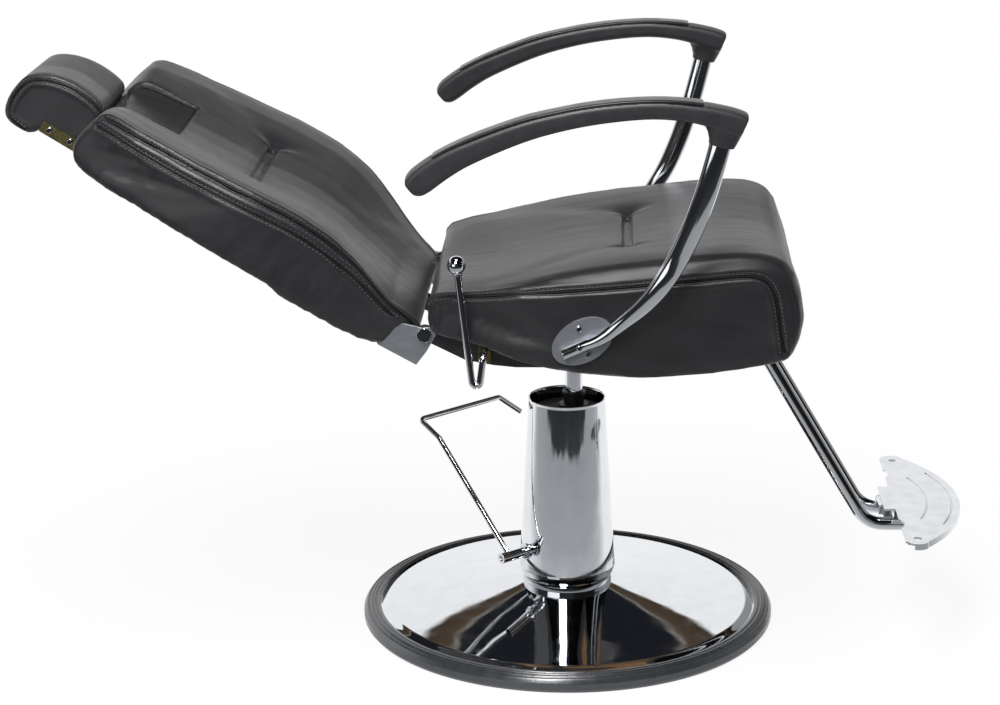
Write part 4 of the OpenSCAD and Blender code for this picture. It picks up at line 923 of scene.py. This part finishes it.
# The knit's wales are 0.7 mm apart, and are drawn at 1.4 mm so that they show.
wales = add(tree, "TexWave", {"bands_direction": "Y"},
            {"Vector": place, "Scale": 1 / (0.0014 * 2 * pi), "Distortion": 1.5})
fuzz = blots(tree, place, 0.02, 4.0)
black = between(tree, fuzz, "18181a", "252528")
bump = raised(tree, wales.outputs["Fac"], 0.0002, 0.6)
worn(tree, shader, colour=black, normal=bump)
shader.inputs["Sheen Weight"].default_value = 0.2
coat(knit, "back_cover")

# ---- Headrest ----
# A small foam pillow on a plywood core. A wide leatherette strip goes round it and is sewn to two flat side
# caps, with a piped edge. It slides on two posts in guides behind the back, held by a yellow zinc bracket.

head_edge = [(538, 20), (556, 27), (576, 28.5), (600, 26), (622, 18.5), (637, 8), (643, -10), (645, -30),
             (641, -46), (630, -53), (610, -55)]
head_seams = [spaced(curved([on_back(u, v, side * 88) for u, v in head_edge])) for side in (-1, 1)]
head_sewn = nearness(head_seams)


def held_on_head(co):
    """True where the cover is stapled to the core, on the flat side caps and along the seams."""
    u, v = of_back(co)
    return (v < -30 and u < 600) or abs(co.y) > 0.087 or head_sewn.find(co)[2] < 0.004


head = stuffed("headrest_cover", "headrest_cushion", ["headrest_core"], voxel=0.0042, cap=0.0025,
               pinned=held_on_head)
covered(head, back_skin)


def pillow_swell(co):
    """The swell of the pillow's lower edge towards the back, so that the two covers touch."""
    u, v = of_back(co)
    return slope * 0.009 * eased((575 - u) / 35) * eased((v + 38) / 20)


for vert in head.data.vertices:
    vert.co -= pillow_swell(vert.co)
for line in head_seams:
    for p in line:
        p -= pillow_swell(p)
drawn_in(head, head_seams, 0.003, 0.003, 0.0012)
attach(head, "headrest")
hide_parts("headrest_cushion")
seamed("headrest", head_seams, head, back_skin, "headrest", 0.0012, 0.0011, 0.0052)
dressed("headrest_straps", "headrest_bracket", 0.5, gold, "headrest", "yellow_zinc")
dressed("strap_screws", "headrest_screws", 0.5, chrome, "headrest", "bright_screw")
coat(zinc, "headrest_guides")

# ---- Arms: flanges and tubes ----
# An oval steel flange is screwed through the cover to the pan's side board. The elliptical tube is drawn
# wider towards its top, bent in a long sweep, cut square at its foot and chromed.

dressed("arm_side_flanges", "arm_flanges", 0.9, nickel, "seat", "satin_steel")

arm_curve = [(-1, 473), (25, 485), (53, 499), (104, 545), (139, 593), (164, 645), (182, 697), (196, 748),
             (203, 778)]
arm_lean = [(-4, 0), (22, 0), (60, 0.1), (139, 0.52), (203, 0.98)]
arm_centre, tube_foot = 318, 263.9
for hand, side in (("right", -1), ("left", 1)):
    flat = curved([Vector((x, 0, z)) for x, z in arm_curve], 8)
    path = [Vector((p.x, side * (tube_foot + (arm_centre - 2 - tube_foot) * table_at(arm_lean, p.x)), p.z))
            for p in flat]
    rings = []
    for i, p in enumerate(path):
        along = heading(path, i)
        out = (Vector((0, side, 0)) - along * along.y * side).normalized()
        up = along.cross(out)
        swell = eased((p.x - 20) / 150)
        rings.append([p + up * (7.5 + 7 * swell) * cos(a) + out * (6 + 3 * swell) * sin(a)
                      for a in full_turn(48)])
    piece("arm_sweep_" + hand, broken(lofted(rings), 0.7, 2, 40), bright_bar, "seat", "chrome",
          "arm_tube_" + hand)
dressed("arm_flange_screws", "arm_screws", 0.5, chrome, "seat", "bright_screw")

# ---- Arm pads ----
# Moulded in black self-skinned polyurethane over the tube's end. A crisp ridge runs along each side, and a
# channel inside it frames a softer inlay strip that is let into the top and stands a little proud.

# Self-skinned polyurethane: black, satin, with a fine even mould grain and soft highlights on its ridges.
skin, tree, shader, place = mottled("self_skinned_polyurethane", "222224", "2f2f32", 0.02, 4.0, 0.34, 0.52)
# The mould's leather grain is 0.5 mm across, and is drawn at 1 mm so that it shows.
cells = add(tree, "TexVoronoi", {"feature": "SMOOTH_F1"},
            {"Vector": place, "Scale": 1 / 0.001}).outputs["Distance"]
worn(tree, shader, normal=raised(tree, cells, 0.00006, 0.5))

# Soft thermoplastic inlay: a shade darker and glossier than the pad.
soft = mottled("soft_thermoplastic_inlay", "1d1e20", "1d1e20", 0.03, 4.0, 0.22, 0.42)[0]

pad_curve = [(-196, 713, 20), (-191, 717, 31), (-181, 724, 36), (-154, 743, 35), (-120, 761, 32),
             (-55, 787, 29), (0, 802, 27), (55, 811.5, 26), (115, 816, 25), (165, 812, 26), (205, 803, 30),
             (226, 796, 31), (231, 794, 26)]
# Half of the pad's section, from its underside round to its top: the share of its half width, then the
# height from its underside or, after the ridge, down from its top, plain and in the channel.
under = [(0, 0), (0.5, 0.1), (0.78, 1.2), (0.92, 3.6), (1, 8)]
over = [(1, 8, 8), (0.97, 5, 5), (0.9, 2.9, 2.9), (0.87, 2.4, 2.4), (0.83, 2.2, 3.2), (0.79, 1.9, 4.4),
        (0.66, 1.2, 4.6), (0.6, 1, 4.2), (0.3, 0.3, 4.2), (0, 0, 4.2)]
half_pad = 23
# The socket round the tube's end: height along the tube, reach to the rear and the front, half breadth.
socket_steps = [(-0.6, 14.6, 17.4, 12.6), (0, 15.5, 18.3, 13.5), (6.4, 16, 20.2, 14), (7, 17, 20.4, 14.2),
                (14, 20, 22.3, 15.5), (21, 25.5, 24, 18), (28, 33, 25.4, 20)]
pad_line = curved([Vector(p) for p in pad_curve], 6)
for hand, side in (("right", -1), ("left", 1)):
    rings = []
    for i, p in enumerate(pad_line):
        a, b = pad_line[max(i - 1, 0)], pad_line[min(i + 1, len(pad_line) - 1)]
        along = Vector((b.x - a.x, 0, b.y - a.y)).normalized()
        up = Vector((-along.z, 0, along.x))
        high, end = p.z / 2, i in (0, len(pad_line) - 1)
        wide = half_pad * (0.8 if end else 1)
        deep = eased((p.x + 158) / 3) * eased((176 - p.x) / 4)
        half = [(s * wide, -high + h) for s, h in under]
        half += [(s * wide, high - (h + (g - h) * deep)) for s, h, g in over]
        ring = half + [(-y, z) for y, z in reversed(half[1:-1])]
        rings.append([Vector((p.x, side * arm_centre + y, p.y)) + up * z for y, z in ring])
    pad = lofted(rings)
    socket, stem, rear = [], Vector((0.227, 0, 0.974)), Vector((-0.974, 0, 0.227))
    for rise, back_reach, front_reach, broad in socket_steps:
        heart = Vector((200.6, side * arm_centre, 768)) + stem * rise
        loop = []
        for a in full_turn(32):
            c, s = cos(a), sin(a)
            reach = (back_reach if c > 0 else front_reach) * (abs(c) ** 0.7) * (1 if c > 0 else -1)
            loop.append(heart + rear * reach + Vector((0, broad * abs(s) ** 0.7 * (1 if s > 0 else -1), 0)))
        socket.append(loop)
    pad.from_mesh(meshed("socket", lofted(socket)))
    made = piece("arm_pad_skin_" + hand, pad, skin, "seat", "arm_plastic", "arm_pad_" + hand, even=False)
    changed(made, "REMESH", mode="VOXEL", voxel_size=0.0013)
    changed(made, "SMOOTH", factor=0.5, iterations=4)
    shaped(made)
    made.data.shade_smooth()
    piece("arm_inlay_strip_" + hand, from_solid("arm_inlay_" + hand, 0.8), soft, "seat", "arm_plastic",
          "arm_inlay_" + hand)

# ---- Foot rest ----
# Two bright tubes, bent at the foot, carry a folding plate. It is polished cast aluminium with a turned-down
# edge, two grooves for grip and a hole at each tip. It turns up on a pin and rests on two rubber buffers.

leg_ends = [(257.4, 448), (432, 153), (492, 153)]
legs = bmesh.new()
for side in (-1, 1):
    leg = lofted(bar(bent([(x, side * 35, z) for x, z in leg_ends], 42), 9.5, 40))
    legs.from_mesh(meshed("leg", broken(leg, 0.8, 2, 40)))
piece("leg_tubes", legs, bright_bar, "seat", "chrome", "foot_tubes")
dressed("plate_hinge", "foot_bracket", 0.5, nickel, "seat", "satin_steel")
dressed("rubber_buffers", "foot_buffers", 0.6, rubber, "seat", "rim_rubber")
coat(zinc, "foot_pin")

# Polished cast aluminium: near white and bright, with faint haze from the buffing wheel.
aluminium = mottled("polished_cast_aluminium", "e9ebee", "dadde1", 0.025, 5.0, 0.1, 0.3, 1.0)[0]
dressed("folding_foot_plate", "foot_plate", 0.5, aluminium, "foot_plate", "plate_steel")

# ---- Studio ----
# A white sweep that reaches round behind the chair and a little way in front of it, and beyond that a dark
# room, as chrome shows them. What the camera sees of the sweep is white, with the chair's own faint shadow.

bpy.context.scene.view_settings.view_transform = "Standard"


def softly(tree, value, start, end, low, high):
    """A value that passes softly from low to high while another goes from start to end."""
    return add(tree, "MapRange", {"interpolation_type": "SMOOTHSTEP"},
               {"Value": value, "From Min": start, "From Max": end, "To Min": low, "To Max": high}).outputs[0]


def reckoned(tree, operation, *values):
    """A sum of values or other nodes' outputs."""
    return add(tree, "Math", {"operation": operation}, dict(enumerate(values))).outputs[0]


def shader_of(tree, share, plain, other):
    """One shader that passes into another by a share."""
    return add(tree, "MixShader", None, {0: share, 1: plain, 2: other}).outputs["Shader"]


def lit(tree, colour):
    """A surface that shows a colour whatever light falls on it."""
    return add(tree, "Emission", None, {"Color": colour, "Strength": 1.0}).outputs["Emission"]


paper, tree, shader, place = finish_of("white_paper_sweep", "f2f2f2", 0.9)
paths = add(tree, "LightPath").outputs
out = add(tree, "VectorMath", {"operation": "LENGTH"}, {0: place}).outputs["Value"]
to_eye = shader_of(tree, softly(tree, out, 0.4, 1.2, 0.9, 1.0), shader.outputs["BSDF"],
                   lit(tree, (1, 1, 1, 1)))
# How bright chrome mirrors the sweep, by how far towards the camera a spot lies, up to 2.2 m. A share of how
# far it lies before or behind the chair is added, and a ripple that makes the edges uneven.
spread = add(tree, "SeparateXYZ", None, {"Vector": place}).outputs
ripple = reckoned(tree, "MULTIPLY_ADD", blots(tree, place, 0.3, 1.5), 0.3, -0.15)
reach = reckoned(tree, "MULTIPLY_ADD", reckoned(tree, "ABSOLUTE", spread["X"]), 0.4, ripple)
ahead = ranged(tree, reckoned(tree, "SUBTRACT", reach, spread["Y"]), 0.0, 1.0, 0.0, 2.2)
levels = [(spot, (level, level * 1.02, level * 1.05, 1))
          for spot, level in ((0.16, 0.5), (0.25, 0.4), (0.6, 0.34), (0.635, 0.04))]
near_edge = ramped(tree, ahead, [(0.045, (1, 1, 1, 1))] + levels + [(1.0, (0.02, 0.021, 0.024, 1))])
others = shader_of(tree, paths["Is Glossy Ray"], shader.outputs["BSDF"], lit(tree, near_edge))
surface = shader_of(tree, paths["Is Camera Ray"], others, to_eye)
tree.links.new(surface, tree.nodes["Material Output"].inputs["Surface"])
bm = bmesh.new()
bmesh.ops.create_grid(bm, x_segments=1, y_segments=1, size=14)
floor = linked("floor", meshed("floor", bm))
floor.data.materials.append(paper)

world = bpy.data.worlds.new("white_room")
bpy.context.scene.world = world
world.use_nodes = True
room = world.node_tree
paths = add(room, "LightPath").outputs
toward = add(room, "SeparateXYZ", None, {"Vector": add(room, "TexCoord").outputs["Generated"]}).outputs
behind = softly(room, toward["Y"], -0.3, 0.3, 0.03, 1.0)
beyond = softly(room, toward["X"], 0.18, 0.36, 1.0, 0.3)
# Chrome mirrors a white wall up to a brown beam, with a grey gap over it and a dark ceiling above.
above = ramped(room, toward["Z"], [(0.508, (1, 1, 1, 1)), (0.518, (0.05, 0.035, 0.024, 1)),
                                   (0.566, (0.08, 0.055, 0.035, 1)), (0.574, (0.25, 0.24, 0.22, 1)),
                                   (0.582, (0.012, 0.013, 0.017, 1))])
mirrored = reckoned(room, "MULTIPLY", behind, beyond)
glossy = add(room, "Mix", None, {0: paths["Is Glossy Ray"], 2: 0.44, 3: mirrored}).outputs[0]
clear = reckoned(room, "MAXIMUM", paths["Is Camera Ray"], paths["Is Transmission Ray"])
strength = add(room, "Mix", None, {0: clear, 2: glossy, 3: 1.0}).outputs[0]
tinted = add(room, "Mix", {"data_type": "RGBA"}, {0: paths["Is Glossy Ray"], 6: (1, 1, 1, 1), 7: above})
room.links.new(strength, room.nodes["Background"].inputs["Strength"])
room.links.new(tinted.outputs[2], room.nodes["Background"].inputs["Color"])


def lamp(name, place, aim, width, depth, power):
    """A rectangular lamp, pointed at a spot."""
    light = bpy.data.lights.new(name, "AREA")
    light.shape, light.size, light.size_y, light.energy = "RECTANGLE", width, depth, power
    made = linked(name, light)
    made.location = place
    made.rotation_euler = (Vector(aim) - Vector(place)).to_track_quat("-Z", "Y").to_euler()


lamp("high_softbox", (-0.3, -1.3, 2.5), (0, 0, 0.5), 0.6, 2.2, 78)
lamp("front_fill", (-1.7, -2.6, 0.9), (-0.2, 0, 0.5), 1.6, 1.2, 8)

# The camera looks down, turns a little aside and leans. Its focal length is in pixels of a picture 1000 wide.
focal, picture_width, sensor = 2527.5, 1000, 36
eye_spot = (0.056, -3.484, 1.428)
tip, swing, lean = radians(16.45), radians(-2.5), radians(-0.54)
camera = bpy.data.cameras.new("camera")
camera.lens, camera.sensor_width, camera.clip_end = focal / picture_width * sensor, sensor, 50
eye = linked("camera", camera)
forward = Vector((sin(swing) * cos(tip), cos(swing) * cos(tip), -sin(tip)))
right = Vector((cos(swing), -sin(swing), 0))
above = right.cross(forward)
across = right * cos(lean) + above * sin(lean)
above = above * cos(lean) - right * sin(lean)
view = Matrix((across, above, -forward)).transposed().to_4x4()
view.translation = eye_spot
eye.matrix_world = view
bpy.context.scene.camera = eye
